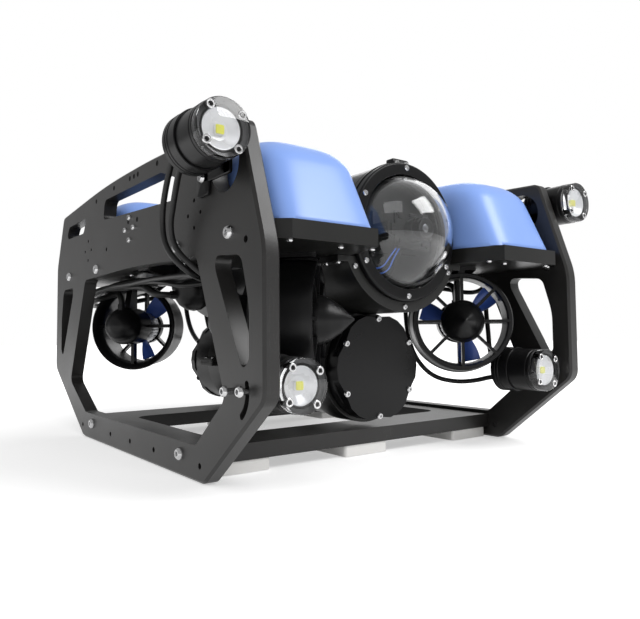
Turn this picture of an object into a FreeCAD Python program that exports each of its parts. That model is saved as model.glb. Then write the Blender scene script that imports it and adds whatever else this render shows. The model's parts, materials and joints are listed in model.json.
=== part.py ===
"""Underwater inspection ROV: open frame, two pressure tubes, six thrusters, four lights.

Millimetres. X to port, Y to the stern, Z up. The origin is on the ground under the middle of
the frame. Port and starboard pieces mirror each other in X.
"""
import FreeCAD, Part
import math
import os
from FreeCAD import Matrix, Placement, Rotation, Vector

doc = FreeCAD.newDocument("inspection_rov")
sheet = doc.addObject("Spreadsheet::Sheet", "sizes")

SIZES = [
    ("frame_width", 338.0, "outside of the two side panels"),
    ("panel_length", 457.6, "side panel, bow to stern"),
    ("panel_thick", 12.7, "side panel sheet"),
    ("panel_bevel", 1.8, "bevel along the side panel's outline"),
    ("plate_thick", 12.7, "centre plates and bottom panel"),
    ("plate_z", 163.7, "underside of the centre plates"),
    ("plate_inner_x", 58.0, "inner edge of the centre plates"),
    ("duct_room", 2.5, "centre plates round the vertical thruster"),
    ("plate_end_inset", 4.8, "centre plate's end from the end of the side panel"),
    ("bottom_z", 9.7, "underside of the bottom panel"),
    ("bottom_length", 252.0, "bottom panel along Y"),
    ("bottom_shift", -11.0, "middle of the bottom panel along Y"),
    ("bottom_member", 48.0, "width of the bottom panel's cross members"),
    ("bottom_rail", 22.0, "width of the bottom panel's side rails"),
    ("screw_shank_r", 2.5, "frame screw"),
    ("screw_head_r", 4.6, "frame screw head"),
    ("screw_head_high", 2.8, "frame screw head"),
    ("screw_long", 27.0, "frame screw under its head"),
    ("screw_play", 0.1, "round a screw in its hole"),
    ("ballast_wide", 48.0, "ballast block along X"),
    ("ballast_deep", 44.0, "ballast block along Y"),
    ("ballast_high", 9.3, "ballast block"),
    ("fairing_gap", 2.5, "fairing to the edge of its plate"),
    ("fairing_long", 158.0, "fairing along Y at its foot"),
    ("fairing_high", 63.0, "fairing above its plate at the bow end"),
    ("fairing_rise", 5.0, "how much the fairing's top climbs to its inner end"),
    ("fairing_rake", 25.0, "lean of the fairing's end face"),
    ("fairing_round", 15.0, "radius along the fairing's top edge"),
    ("tube_z", 186.5, "axis of the electronics tube"),
    ("tube_r", 57.15, "electronics tube, outside"),
    ("tube_bore_r", 50.8, "electronics tube, inside"),
    ("tube_bow_y", -170.0, "bow end of the electronics tube"),
    ("tube_long", 298.0, "electronics tube"),
    ("dome_r", 49.0, "dome, outside"),
    ("dome_wall", 3.2, "dome"),
    ("dome_centre_y", -166.0, "centre of the dome's sphere"),
    ("dome_flange_r", 50.4, "rim of the dome"),
    ("ring_front_y", -182.6, "front face of the dome's retaining ring"),
    ("ring_bore_r", 47.2, "opening of the retaining ring"),
    ("flange_thick", 5.6, "tube flanges outside the tube"),
    ("plug_long", 20.0, "tube flanges inside the tube"),
    ("cap_thick", 6.0, "rear end cap"),
    ("seat_play", 0.1, "between pieces that seat in each other"),
    ("saddle_r", 66.0, "outside of the tube cradle"),
    ("saddle_long", 74.0, "tube cradle along Y"),
    ("ear_long", 30.0, "cradle ears along Y"),
    ("ear_x", 70.0, "end of the cradle ears"),
    ("ear_thick", 5.0, "cradle ears"),
    ("clamp_long", 26.0, "battery clamps along Y"),
    ("clamp_wall", 3.6, "battery clamps"),
    ("clamp_ear", 9.0, "flange of the battery clamps"),
    ("battery_z", 74.8, "axis of the battery tube"),
    ("battery_r", 44.45, "battery tube, outside"),
    ("battery_bore_r", 38.1, "battery tube, inside"),
    ("battery_bow_y", -146.1, "front face of the battery cap"),
    ("battery_long", 268.0, "battery enclosure over its caps"),
    ("battery_cap_r", 45.6, "battery caps over their lobes"),
    ("battery_cap_waist", 40.6, "battery caps between their lobes"),
    ("battery_cap_thick", 8.0, "battery caps"),
    ("thruster_lean", 45.0, "angle of the four level thrusters from the centre line"),
    ("thruster_inset", 58.9, "middle of a level thruster's duct from the side panel"),
    ("thruster_bow_inset", 74.8, "bow thrusters from the bow end of the panel"),
    ("thruster_stern_inset", 81.8, "stern thrusters from the stern end of the panel"),
    ("lift_y", -8.0, "vertical thrusters"),
    ("lift_z", 190.5, "middle of a vertical thruster's duct"),
    ("duct_long", 45.0, "thruster duct"),
    ("duct_inlet_r", 48.5, "duct at its motor end, outside"),
    ("duct_outlet_r", 44.0, "duct at its spoked end, outside"),
    ("duct_bore_r", 39.4, "duct, inside"),
    ("foot_reach", 49.6, "thruster axis to the face of its foot"),
    ("foot_thick", 3.2, "thruster foot"),
    ("spoke_count", 8.0, "spokes of the duct"),
    ("spoke_wide", 2.6, "spoke across the flow"),
    ("spoke_deep", 8.0, "spoke along the flow"),
    ("hub_r", 19.3, "spoked hub"),
    ("cone_long", 26.0, "cone beyond the duct"),
    ("motor_r", 20.0, "motor base"),
    ("motor_reach", 42.0, "motor base beyond the duct"),
    ("shaft_r", 2.5, "motor shaft"),
    ("shaft_play", 0.05, "shaft in its bearing"),
    ("outlet_r", 3.8, "boss that a thruster's cable leaves"),
    ("outlet_reach", 23.0, "thruster axis to the face of that boss"),
    ("outlet_back", 27.5, "boss behind the duct"),
    ("bell_r", 17.6, "rotor bell"),
    ("blade_count", 3.0, "propeller blades"),
    ("blade_tip", 37.3, "propeller blade tip from the axis"),
    ("blade_chord", 21.0, "propeller blade"),
    ("light_r", 19.0, "light body"),
    ("lens_r", 18.5, "light lens"),
    ("lens_thick", 7.5, "light lens"),
    ("chip_thick", 1.8, "light source in the reflector"),
    ("light_long", 35.0, "light over its lens and rear flange"),
    ("light_flange_r", 20.3, "rear flange of a light"),
    ("light_flange_thick", 8.0, "rear flange of a light"),
    ("gland_r", 4.6, "cable gland"),
    ("gland_long", 12.0, "cable gland"),
    ("gland_spread", 8.0, "light's glands from its axis"),
    ("lamp_inset", 7.8, "lens face of all four lights from the bow end of the panel"),
    ("lamp_top_reach", 21.8, "upper lights outboard of the side panel"),
    ("lamp_top_z", 227.0, "upper lights"),
    ("lamp_low_inset", 23.3, "lower lights inboard of the side panel"),
    ("lamp_low_z", 70.0, "lower lights"),
    ("bracket_thick", 2.1, "light bracket sheet"),
    ("bracket_play", 0.3, "between a bracket and the panel it turns against"),
    ("bolt_r", 2.0, "light bracket bolt"),
    ("low_pivot_inset", 38.8, "pivot of the lower lights from the bow end of the panel"),
    ("low_pivot_z", 67.0, "pivot of the lower lights"),
    ("low_bolt_reach", 19.5, "pivot to the bolt in the curved slot"),
    ("top_pivot_inset", 75.8, "pivot of the upper lights from the bow end of the panel"),
    ("top_pivot_z", 213.0, "pivot of the upper lights"),
    ("camera_pivot_y", -182.0, "tilt axis of the camera"),
    ("light_cable_r", 2.3, "light cable"),
    ("thruster_cable_r", 2.9, "thruster and battery cable"),
    ("camera_pin_r", 2.0, "pins that the camera turns on"),
    ("camera_wide", 38.0, "camera between its ears"),
    ("fork_wall", 3.0, "camera fork and ears"),
]


def fill_sheet():
    for row, (alias, value, note) in enumerate(SIZES, 1):
        sheet.set("A%d" % row, alias)
        sheet.set("B%d" % row, str(value))
        sheet.set("C%d" % row, note)
        sheet.setAlias("B%d" % row, alias)
    doc.recompute()


fill_sheet()


class Sheet:
    """Reads the spreadsheet's cells by their aliases."""

    def __getattr__(self, alias):
        return float(sheet.get(alias))


s = Sheet()
EXPORT = []
SIDES = (("port", 1), ("starboard", -1))
ENDS = (("bow", -1), ("stern", 1))


# ---- drawing helpers ------------------------------------------------------------------

def bind(thing, prop, formula):
    """Ties a property to the sheet: each alias in the formula stands for its cell."""
    words = formula.replace("(", " ( ").replace(")", " ) ").split()
    aliases = {alias for alias, value, note in SIZES}
    cells = ["sizes." + word if word in aliases else word for word in words]
    thing.setExpression(prop, " ".join(cells))


def new_body(label):
    body = doc.addObject("PartDesign::Body", "Body")
    body.Label = label
    EXPORT.append(body)
    return body


def plane(body, role):
    return next(item for item in body.Origin.OriginFeatures if item.Role == role)


def new_sketch(body, role, edges, shift=0.0, turn=None):
    sketch = body.newObject("Sketcher::SketchObject", "Sketch")
    sketch.AttachmentSupport = (plane(body, role), [""])
    sketch.MapMode = "FlatFace"
    sketch.AttachmentOffset = Placement(Vector(0, 0, shift), turn or Rotation())
    sketch.addGeometry(edges, False)
    return sketch


def new_pad(body, sketch, formula, reverse=False):
    pad = body.newObject("PartDesign::Pad", "Pad")
    pad.Profile = sketch
    pad.Reversed = reverse
    bind(pad, "Length", formula)
    doc.recompute()
    return pad


def new_pocket(body, sketch, formula, reverse=False):
    pocket = body.newObject("PartDesign::Pocket", "Pocket")
    pocket.Profile = sketch
    pocket.Reversed = reverse
    bind(pocket, "Length", formula)
    doc.recompute()
    return pocket


def new_revolution(body, sketch):
    turned = body.newObject("PartDesign::Revolution", "Revolution")
    turned.Profile = sketch
    turned.ReferenceAxis = (sketch, ["V_Axis"])
    turned.Angle = 360.0
    doc.recompute()
    return turned


def new_pattern(body, originals, count):
    pattern = body.newObject("PartDesign::PolarPattern", "PolarPattern")
    pattern.Originals = originals
    pattern.Axis = (plane(body, "Z_Axis"), [""])
    pattern.Angle = 360.0
    bind(pattern, "Occurrences", count)
    body.Tip = pattern
    doc.recompute()
    return pattern


def outline(corners):
    """Closed outline from corners (u, v, radius), each rounded by an arc where it has a radius."""
    arcs = []
    for index, (u, v, radius) in enumerate(corners):
        here = Vector(u, v, 0)
        back = (Vector(*corners[index - 1][:2], 0) - here).normalize()
        ahead = (Vector(*corners[(index + 1) % len(corners)][:2], 0) - here).normalize()
        half = back.getAngle(ahead) / 2
        reach = radius / math.tan(half)
        middle = (back + ahead).normalize() * (radius / math.sin(half) - radius)
        arcs.append((here + back * reach, here + middle, here + ahead * reach, radius))
    edges = []
    for index, (start, middle, end, radius) in enumerate(arcs):
        if radius > 0:
            edges.append(Part.Arc(start, middle, end))
        after = arcs[(index + 1) % len(arcs)][0]
        if end.distanceToPoint(after) > 1e-6:
            edges.append(Part.LineSegment(end, after))
    return edges


def polygon(points):
    return outline([(u, v, 0) for u, v in points])


def rectangle(u0, v0, u1, v1, radius=0.0):
    return outline([(u0, v0, radius), (u1, v0, radius), (u1, v1, radius), (u0, v1, radius)])


def circle(u, v, radius):
    return [Part.Circle(Vector(u, v, 0), Vector(0, 0, 1), radius)]


def arc_slot(u, v, reach, start, end, half_width):
    """Slot that follows a circle of radius reach about (u, v), between two angles in degrees."""
    def at(angle, distance):
        turn = math.radians(angle)
        return Vector(u + distance * math.cos(turn), v + distance * math.sin(turn), 0)

    def end_point(angle, sign):
        turn = math.radians(angle)
        along = Vector(-math.sin(turn), math.cos(turn), 0) * half_width * sign
        return at(angle, reach) + along

    middle = (start + end) / 2
    outer = Part.Arc(at(start, reach + half_width), at(middle, reach + half_width),
                     at(end, reach + half_width))
    far = Part.Arc(at(end, reach + half_width), end_point(end, 1), at(end, reach - half_width))
    inner = Part.Arc(at(end, reach - half_width), at(middle, reach - half_width),
                     at(start, reach - half_width))
    near = Part.Arc(at(start, reach - half_width), end_point(start, -1),
                    at(start, reach + half_width))
    return [outer, far, inner, near]


def frame_of(origin, along, up):
    """Placement that turns local Z to along and local X to up."""
    z = Vector(*along).normalize()
    x = Vector(*up).normalize()
    y = z.cross(x)
    turned = Matrix(x.x, y.x, z.x, 0, x.y, y.y, z.y, 0, x.z, y.z, z.z, 0, 0, 0, 0, 1)
    return Placement(Vector(*origin), Rotation(turned))


def along_y(x, y, z, sign=-1):
    """Placement of a turned piece whose axis lies along Y, its local X pointing up."""
    return frame_of((x, y, z), (0, sign, 0), (0, 0, 1))


def revolved(label, edges, placement):
    body = new_body(label)
    new_revolution(body, new_sketch(body, "XZ_Plane", edges))
    body.Placement = placement
    return body


def set_shape(label, shape):
    """A piece, or a group of like pieces, that the Part functions make directly."""
    piece = doc.addObject("Part::Feature", "Piece")
    piece.Label = label
    piece.Shape = shape
    EXPORT.append(piece)
    return piece


# ---- shared places --------------------------------------------------------------------

def panel_in():
    return s.frame_width / 2 - s.panel_thick


def fore(inset):
    """Y of a place that is set by its distance from the bow end of the side panel."""
    return inset - s.panel_length / 2


def aft(inset):
    return s.panel_length / 2 - inset


def plate_screws():
    return (fore(41.8), fore(121.8), aft(146.8), aft(52.8))


BOTTOM_SCREW_INSET = 24.0


def bottom_screws():
    reach = s.bottom_length / 2 - BOTTOM_SCREW_INSET
    return (s.bottom_shift - reach, s.bottom_shift + reach)


def plate_mid_z():
    return s.plate_z + s.plate_thick / 2


def bottom_mid_z():
    return s.bottom_z + s.plate_thick / 2


def foot_screws(centre_u, centre_v, reach=10.0):
    """The four screw places of a thruster's foot, a square standing on its corner."""
    return [(centre_u + reach, centre_v), (centre_u, centre_v + reach),
            (centre_u - reach, centre_v), (centre_u, centre_v - reach)]


# ---- frame ----------------------------------------------------------------------------

def panel_edges():
    """Outline, windows and holes of a side panel in Y and Z."""
    bow = fore(0)
    stern = aft(0)
    edges = outline([
        (fore(78.4), 0, 14), (aft(107.7), 0, 14), (stern, 66, 14), (stern, 184, 34),
        (aft(24.8), 241.5, 9), (aft(168.8), 251.2, 1500), (fore(178.8), 250.6, 1500),
        (fore(27.8), 244, 9), (bow, 158, 60), (bow, 63, 14)])
    edges += outline([
        (fore(90.8), 25.5, 7), (aft(115.8), 25.5, 9), (aft(60.8), 55, 8),
        (aft(108.8), 162, 9), (fore(218.8), 163.6, 1500), (fore(89.8), 159.5, 8),
        (fore(47.8), 61, 8)])
    edges += outline([
        (fore(24.8), 80, 4), (fore(60.8), 147, 14), (fore(61.8), 157, 5),
        (fore(26.8), 154, 9), (fore(17.3), 122, 60), (fore(17.3), 88, 5)])
    edges += outline([
        (aft(28.8), 80, 4), (aft(21.8), 88, 5), (aft(21.8), 122, 60), (aft(28.8), 156, 9),
        (aft(65.8), 157, 5), (aft(64.8), 147, 14)])
    edges += outline([
        (fore(123.8), 207, 7), (aft(164.8), 217, 5), (aft(168.8), 236, 7),
        (fore(152.8), 234, 10), (fore(124.8), 224, 6)])
    edges += outline([
        (aft(100.8), 212.5, 6), (aft(35.8), 213.5, 5), (aft(48.8), 226.5, 5),
        (aft(111.8), 228, 4)])
    edges += circle(fore(47.8), 217, 19)
    screw_r = s.screw_shank_r + s.screw_play
    for y in plate_screws():
        edges += circle(y, plate_mid_z(), screw_r)
    for y in bottom_screws():
        edges += circle(y, bottom_mid_z(), screw_r)
    for y in (fore(83.8), fore(164.8), fore(216.8), aft(190.8), aft(106.8)):
        edges += circle(y, 12, 2.2)
    for y, z in foot_screws(fore(93.3), 190.5) + foot_screws(aft(117.8), 192):
        edges += circle(y, z, 1.6)
    edges += circle(aft(174.8), 187, 2.0)
    edges += circle(fore(20.8), 163, 2.4)
    low_y = fore(s.low_pivot_inset)
    pivot_r = s.bolt_r + s.shaft_play
    edges += circle(fore(s.top_pivot_inset), s.top_pivot_z, pivot_r)
    edges += circle(low_y, s.low_pivot_z, pivot_r)
    edges += arc_slot(low_y, s.low_pivot_z, s.low_bolt_reach, 164, 230,
                      s.bolt_r + s.bracket_play)
    return edges


def bevel(body, feature, faces_x, formula):
    """Chamfers every edge of the outer outline that lies on one of two planes of X."""
    names = []
    shape = feature.Shape
    for face in shape.Faces:
        box = face.BoundBox
        if box.XLength > 1e-6 or not any(abs(box.XMin - x) < 1e-6 for x in faces_x):
            continue
        for edge in face.OuterWire.Edges:
            for index, other in enumerate(shape.Edges, 1):
                if other.isSame(edge):
                    names.append("Edge%d" % index)
    chamfer = body.newObject("PartDesign::Chamfer", "Chamfer")
    chamfer.Base = (feature, names)
    bind(chamfer, "Size", formula)
    doc.recompute()
    return chamfer


def side_panel(side, sign):
    body = new_body("side_panel_" + side)
    near = panel_in() if sign > 0 else -panel_in() - s.panel_thick
    sketch = new_sketch(body, "YZ_Plane", panel_edges(), near)
    pad = new_pad(body, sketch, "panel_thick")
    bevel(body, pad, (near, near + s.panel_thick), "panel_bevel")


def center_plate(end, end_sign, side, sign):
    """Plate between the tube and a side panel, cut out round the vertical thruster."""
    body = new_body("center_plate_%s_%s" % (end, side))
    far = end_sign * aft(s.plate_end_inset)
    near = s.lift_y + end_sign * 32.0
    inner = sign * s.plate_inner_x
    outer = sign * panel_in()
    notch_r = s.duct_inlet_r + s.duct_room
    lift_x = sign * (panel_in() - s.foot_reach)
    path = [(inner, near), (inner, far - end_sign * 36), (inner + sign * 3, far - end_sign * 30),
            (inner + sign * 13, far), (outer - sign * 12, far), (outer, far - end_sign * 9),
            (outer, near)]
    new_pad(body, new_sketch(body, "XY_Plane", polygon(path), s.plate_z), "plate_thick")
    notch = new_sketch(body, "XY_Plane", circle(lift_x, s.lift_y, notch_r), s.plate_z)
    new_pocket(body, notch, "plate_thick", reverse=True)
    holes = []
    for y in plate_screws():
        if y * end_sign > 0:
            holes += circle(y, plate_mid_z(), s.screw_shank_r + s.screw_play)
    drill = new_sketch(body, "YZ_Plane", holes, outer)
    new_pocket(body, drill, "screw_long", reverse=sign < 0)


def bottom_panel():
    body = new_body("bottom_panel")
    half = s.bottom_length / 2
    inner = panel_in() - s.bottom_rail
    opening = half - s.bottom_member
    edges = rectangle(-panel_in(), s.bottom_shift - half, panel_in(), s.bottom_shift + half)
    edges += rectangle(-inner, s.bottom_shift - opening, inner, s.bottom_shift + opening, 14)
    new_pad(body, new_sketch(body, "XY_Plane", edges, s.bottom_z), "plate_thick")
    for sign in (1, -1):
        holes = []
        for y in bottom_screws():
            holes += circle(y, bottom_mid_z(), s.screw_shank_r + s.screw_play)
        drill = new_sketch(body, "YZ_Plane", holes, sign * panel_in())
        new_pocket(body, drill, "screw_long", reverse=sign < 0)


def button_screw(shank_r, head_r, head_high, long):
    """Screw along -Z, its head standing on the plane Z = 0, with a round dimple as its drive."""
    head = Part.makeCone(head_r, head_r * 0.72, head_high)
    head = head.cut(Part.makeCylinder(head_r * 0.36, head_high, Vector(0, 0, head_high * 0.5)))
    return head.fuse(Part.makeCylinder(shank_r, long, Vector(0, 0, -long))).removeSplitter()


def placed(shape, placement):
    copy = shape.copy()
    copy.Placement = placement
    return copy


def frame_screws():
    screw = button_screw(s.screw_shank_r, s.screw_head_r, s.screw_head_high,
                         s.screw_long + s.panel_thick - 2)
    spots = [(y, plate_mid_z()) for y in plate_screws()]
    spots += [(y, bottom_mid_z()) for y in bottom_screws()]
    group = []
    for side, sign in SIDES:
        face = sign * s.frame_width / 2
        for y, z in spots:
            group.append(placed(screw, frame_of((face, y, z), (sign, 0, 0), (0, 0, 1))))
        pivot_x = face + sign * (s.bracket_thick + 2 * s.bracket_play)
        bolt = button_screw(s.bolt_r, s.bolt_r * 1.9, 2.2,
                            s.bracket_thick + 2 * s.bracket_play + s.panel_thick)
        group.append(placed(bolt, frame_of((pivot_x, fore(s.top_pivot_inset), s.top_pivot_z),
                                           (sign, 0, 0), (0, 0, 1))))
    set_shape("frame_screws", Part.makeCompound(group))


def ballast_weights():
    """Flat blocks bolted under the cross members, three to a member."""
    group = []
    half = s.bottom_length / 2
    bow = s.bottom_shift - half + 1
    stern = s.bottom_shift + half - 1 - s.ballast_deep
    reach = panel_in() - 4 - s.ballast_wide
    for y in (bow, stern):
        for x in (-reach - s.ballast_wide, -30.0, reach):
            block = Part.makeBox(s.ballast_wide, s.ballast_deep, s.ballast_high,
                                 Vector(x, y, s.bottom_z - s.ballast_high))
            upright = [edge for edge in block.Edges if edge.BoundBox.ZLength > 1]
            group.append(block.makeFillet(3, upright))
    set_shape("ballast_weights", Part.makeCompound(group))


def fairing(end, end_sign, side, sign):
    """Formed cover: raked end face, gently climbing top, rounded all round, open below."""
    body = new_body("fairing_%s_%s" % (end, side))
    foot = end_sign * aft(s.plate_end_inset + s.fairing_gap)
    back = foot - end_sign * s.fairing_long
    inner = sign * (s.plate_inner_x + s.fairing_gap)
    outer = sign * (panel_in() - s.fairing_gap)
    floor = s.plate_z + s.plate_thick
    corners = [(inner, back, 18), (inner, foot - end_sign * 28, 30), (inner + sign * 11, foot, 24),
               (outer, foot, 20), (outer, back, 18)]
    sketch = new_sketch(body, "XY_Plane", outline(corners), floor)
    new_pad(body, sketch, "fairing_high + fairing_rise + 10")
    top = floor + s.fairing_high
    tall = top + s.fairing_rise + 20
    lean = foot - end_sign * s.fairing_rake
    slope = s.fairing_rake / s.fairing_high
    profile = polygon([
        (foot + end_sign * 20, floor - 5), (foot + end_sign * 5 * slope, floor - 5),
        (lean, top), (back - end_sign * 20, top + s.fairing_rise),
        (back - end_sign * 20, tall), (foot + end_sign * 20, tall)])
    cut = new_sketch(body, "YZ_Plane", profile, -s.frame_width / 2)
    solid = new_pocket(body, cut, "frame_width", reverse=True)
    names = []
    for index, edge in enumerate(solid.Shape.Edges, 1):
        box = edge.BoundBox
        if box.ZMin > top - 6 and box.ZMax < tall:
            names.append("Edge%d" % index)
    fillet = body.newObject("PartDesign::Fillet", "Fillet")
    fillet.Base = (solid, names)
    bind(fillet, "Radius", "fairing_round")
    doc.recompute()
    return body


# ---- electronics enclosure ------------------------------------------------------------

def tube_end():
    return s.tube_bow_y + s.tube_long


def electronics_enclosure():
    z = s.tube_z
    long = s.tube_long
    revolved("enclosure_tube", rectangle(s.tube_bore_r, 0, s.tube_r, long),
             along_y(0, s.tube_bow_y, z, 1))
    depth = s.tube_bow_y - s.ring_front_y
    inner_r = s.tube_bore_r - s.seat_play
    lip_r = s.dome_flange_r + s.seat_play
    bore_r = inner_r - 3.6
    revolved("front_flange", polygon([
        (bore_r, -s.plug_long), (inner_r, -s.plug_long), (inner_r, 0), (s.tube_r, 0),
        (s.tube_r, s.flange_thick), (bore_r, s.flange_thick)]),
        along_y(0, s.tube_bow_y, z))
    revolved("dome_retaining_ring", polygon([
        (lip_r, s.flange_thick), (s.tube_r, s.flange_thick), (s.tube_r, depth - 1.2),
        (s.tube_r - 1.2, depth), (s.ring_bore_r, depth), (s.ring_bore_r, depth - 2.6),
        (lip_r, depth - 2.6)]),
        along_y(0, s.tube_bow_y, z))
    rim_back = s.flange_thick
    rim_front = depth - 2.6 - s.seat_play
    centre = s.tube_bow_y - s.dome_centre_y
    inner = s.dome_r - s.dome_wall

    def on(radius, height):
        return math.sqrt(radius ** 2 - (height - centre) ** 2)

    def dome_arc(radius, height):
        edge = math.asin((height - centre) / radius)
        half = (edge + math.pi / 2) / 2
        return (Vector(on(radius, height), height, 0),
                Vector(radius * math.cos(half), centre + radius * math.sin(half), 0),
                Vector(0, centre + radius, 0))

    outer_arc = dome_arc(s.dome_r, rim_front)
    inner_arc = dome_arc(inner, rim_back)
    edges = [
        Part.Arc(*outer_arc), Part.LineSegment(outer_arc[2], inner_arc[2]),
        Part.Arc(inner_arc[2], inner_arc[1], inner_arc[0]),
        Part.LineSegment(inner_arc[0], Vector(s.dome_flange_r, rim_back, 0)),
        Part.LineSegment(Vector(s.dome_flange_r, rim_back, 0),
                         Vector(s.dome_flange_r, rim_front, 0)),
        Part.LineSegment(Vector(s.dome_flange_r, rim_front, 0), outer_arc[0])]
    revolved("camera_dome", edges, along_y(0, s.tube_bow_y, z))
    revolved("rear_flange", polygon([
        (bore_r, -s.plug_long), (inner_r, -s.plug_long), (inner_r, 0), (s.tube_r, 0),
        (s.tube_r, s.flange_thick), (bore_r, s.flange_thick)]),
        along_y(0, tube_end(), z, 1))
    body = new_body("rear_end_cap")
    holes = circle(0, 0, s.tube_r)
    for x, y in penetrator_spots():
        holes += circle(x, y, s.gland_r * 0.75 + s.screw_play)
    new_pad(body, new_sketch(body, "XY_Plane", holes), "cap_thick")
    body.Placement = along_y(0, tube_end() + s.flange_thick, z, 1)


def penetrator_spots():
    """Glands of the rear end cap in its own plane: an outer ring of ten and two inside."""
    ring = [(36 * math.cos(math.radians(a)), 36 * math.sin(math.radians(a)))
            for a in range(0, 360, 36)]
    return ring + [(14, 0), (-14, 0)]


def gland(radius, high, through):
    """Cable gland: a stem through its wall, a hexagon nut and a tapered boot along +Z."""
    nut = Part.makeCylinder(radius, high * 0.35)
    boot = Part.makeCone(radius * 0.82, radius * 0.62, high * 0.65, Vector(0, 0, high * 0.35))
    stem = Part.makeCylinder(radius * 0.75, through, Vector(0, 0, -through))
    return nut.fuse([boot, stem]).removeSplitter()


def cable_penetrators():
    group = []
    piece = gland(s.gland_r, s.gland_long, s.cap_thick)
    face = along_y(0, tube_end() + s.flange_thick + s.cap_thick, s.tube_z, 1)
    for x, y in penetrator_spots():
        group.append(placed(piece, face.multiply(Placement(Vector(x, y, 0), Rotation()))))
    back = along_y(0, s.battery_bow_y + s.battery_long, s.battery_z, 1)
    for x, y in ((14, 10), (14, -10)):
        group.append(placed(piece, back.multiply(Placement(Vector(x, y, 0), Rotation()))))
    set_shape("cable_penetrators", Part.makeCompound(group))


def tube_cradles():
    """Two saddles under the tube: ears up to the plates, half a clamp down to the battery."""
    group = []
    tube = Part.makeCylinder(s.tube_r + s.seat_play, 600, Vector(0, -300, s.tube_z),
                             Vector(0, 1, 0))
    battery = Part.makeCylinder(s.battery_r + s.seat_play, 600, Vector(0, -300, s.battery_z),
                                Vector(0, 1, 0))
    for end, sign in ENDS:
        start = s.tube_bow_y - 8 if sign < 0 else tube_end() - 4
        low = start if sign < 0 else start - s.saddle_long
        saddle = Part.makeCylinder(s.saddle_r, s.saddle_long, Vector(0, low, s.tube_z),
                                   Vector(0, 1, 0))
        saddle = saddle.common(Part.makeBox(2 * s.saddle_r, s.saddle_long, s.saddle_r + 1,
                                            Vector(-s.saddle_r, low, s.plate_z - s.saddle_r - 1)))
        ear_low = start if sign < 0 else start - s.ear_long
        ears = Part.makeBox(2 * s.ear_x, s.ear_long, s.ear_thick,
                            Vector(-s.ear_x, ear_low, s.plate_z - s.ear_thick))
        clamp_low = start + s.saddle_long - s.clamp_long if sign < 0 else start - s.saddle_long
        ring_r = s.battery_r + s.clamp_wall
        clamp = Part.makeCylinder(ring_r, s.clamp_long, Vector(0, clamp_low, s.battery_z),
                                  Vector(0, 1, 0))
        tabs = Part.makeBox(2 * (ring_r + s.clamp_ear), s.clamp_long, 4,
                            Vector(-ring_r - s.clamp_ear, clamp_low, s.battery_z))
        clamp = clamp.fuse(tabs)
        upper = Part.makeBox(200, s.clamp_long, 80, Vector(-100, clamp_low, s.battery_z))
        solid = saddle.fuse([ears, clamp.common(upper)]).cut(tube).cut(battery)
        group.append(solid.removeSplitter())
    set_shape("tube_cradles", Part.makeCompound(group))


def battery_straps():
    group = []
    battery = Part.makeCylinder(s.battery_r + s.seat_play, 600, Vector(0, -300, s.battery_z),
                                Vector(0, 1, 0))
    for end, sign in ENDS:
        start = s.tube_bow_y - 8 if sign < 0 else tube_end() - 4
        low = start + s.saddle_long - s.clamp_long if sign < 0 else start - s.saddle_long
        ring_r = s.battery_r + s.clamp_wall
        ring = Part.makeCylinder(ring_r, s.clamp_long, Vector(0, low, s.battery_z),
                                 Vector(0, 1, 0))
        tabs = Part.makeBox(2 * (ring_r + s.clamp_ear), s.clamp_long, 4,
                            Vector(-ring_r - s.clamp_ear, low, s.battery_z - 4))
        lower = Part.makeBox(200, s.clamp_long, 80, Vector(-100, low, s.battery_z - 80))
        strap = ring.fuse(tabs).common(lower).cut(battery)
        group.append(strap.removeSplitter())
    set_shape("battery_straps", Part.makeCompound(group))


def electronics_tray():
    """Tray between two discs, with the stacked boards it carries."""
    disc_r = s.tube_bore_r - s.seat_play - 3.6 - s.seat_play
    front = s.tube_bow_y + 4
    back = tube_end() - 8
    axis = Vector(0, 1, 0)
    body = Part.makeCylinder(disc_r, 3, Vector(0, front, s.tube_z), axis)
    body = body.fuse(Part.makeCylinder(disc_r, 3, Vector(0, back - 3, s.tube_z), axis))
    deck = Part.makeBox(76, back - front, 3, Vector(-38, front, s.tube_z - 14))
    boards = [Part.makeBox(56, 90, 18, Vector(-28, front + 30, s.tube_z - 11)),
              Part.makeBox(60, 70, 24, Vector(-30, front + 140, s.tube_z - 11))]
    set_shape("electronics_tray", body.fuse([deck] + boards).removeSplitter())


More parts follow.
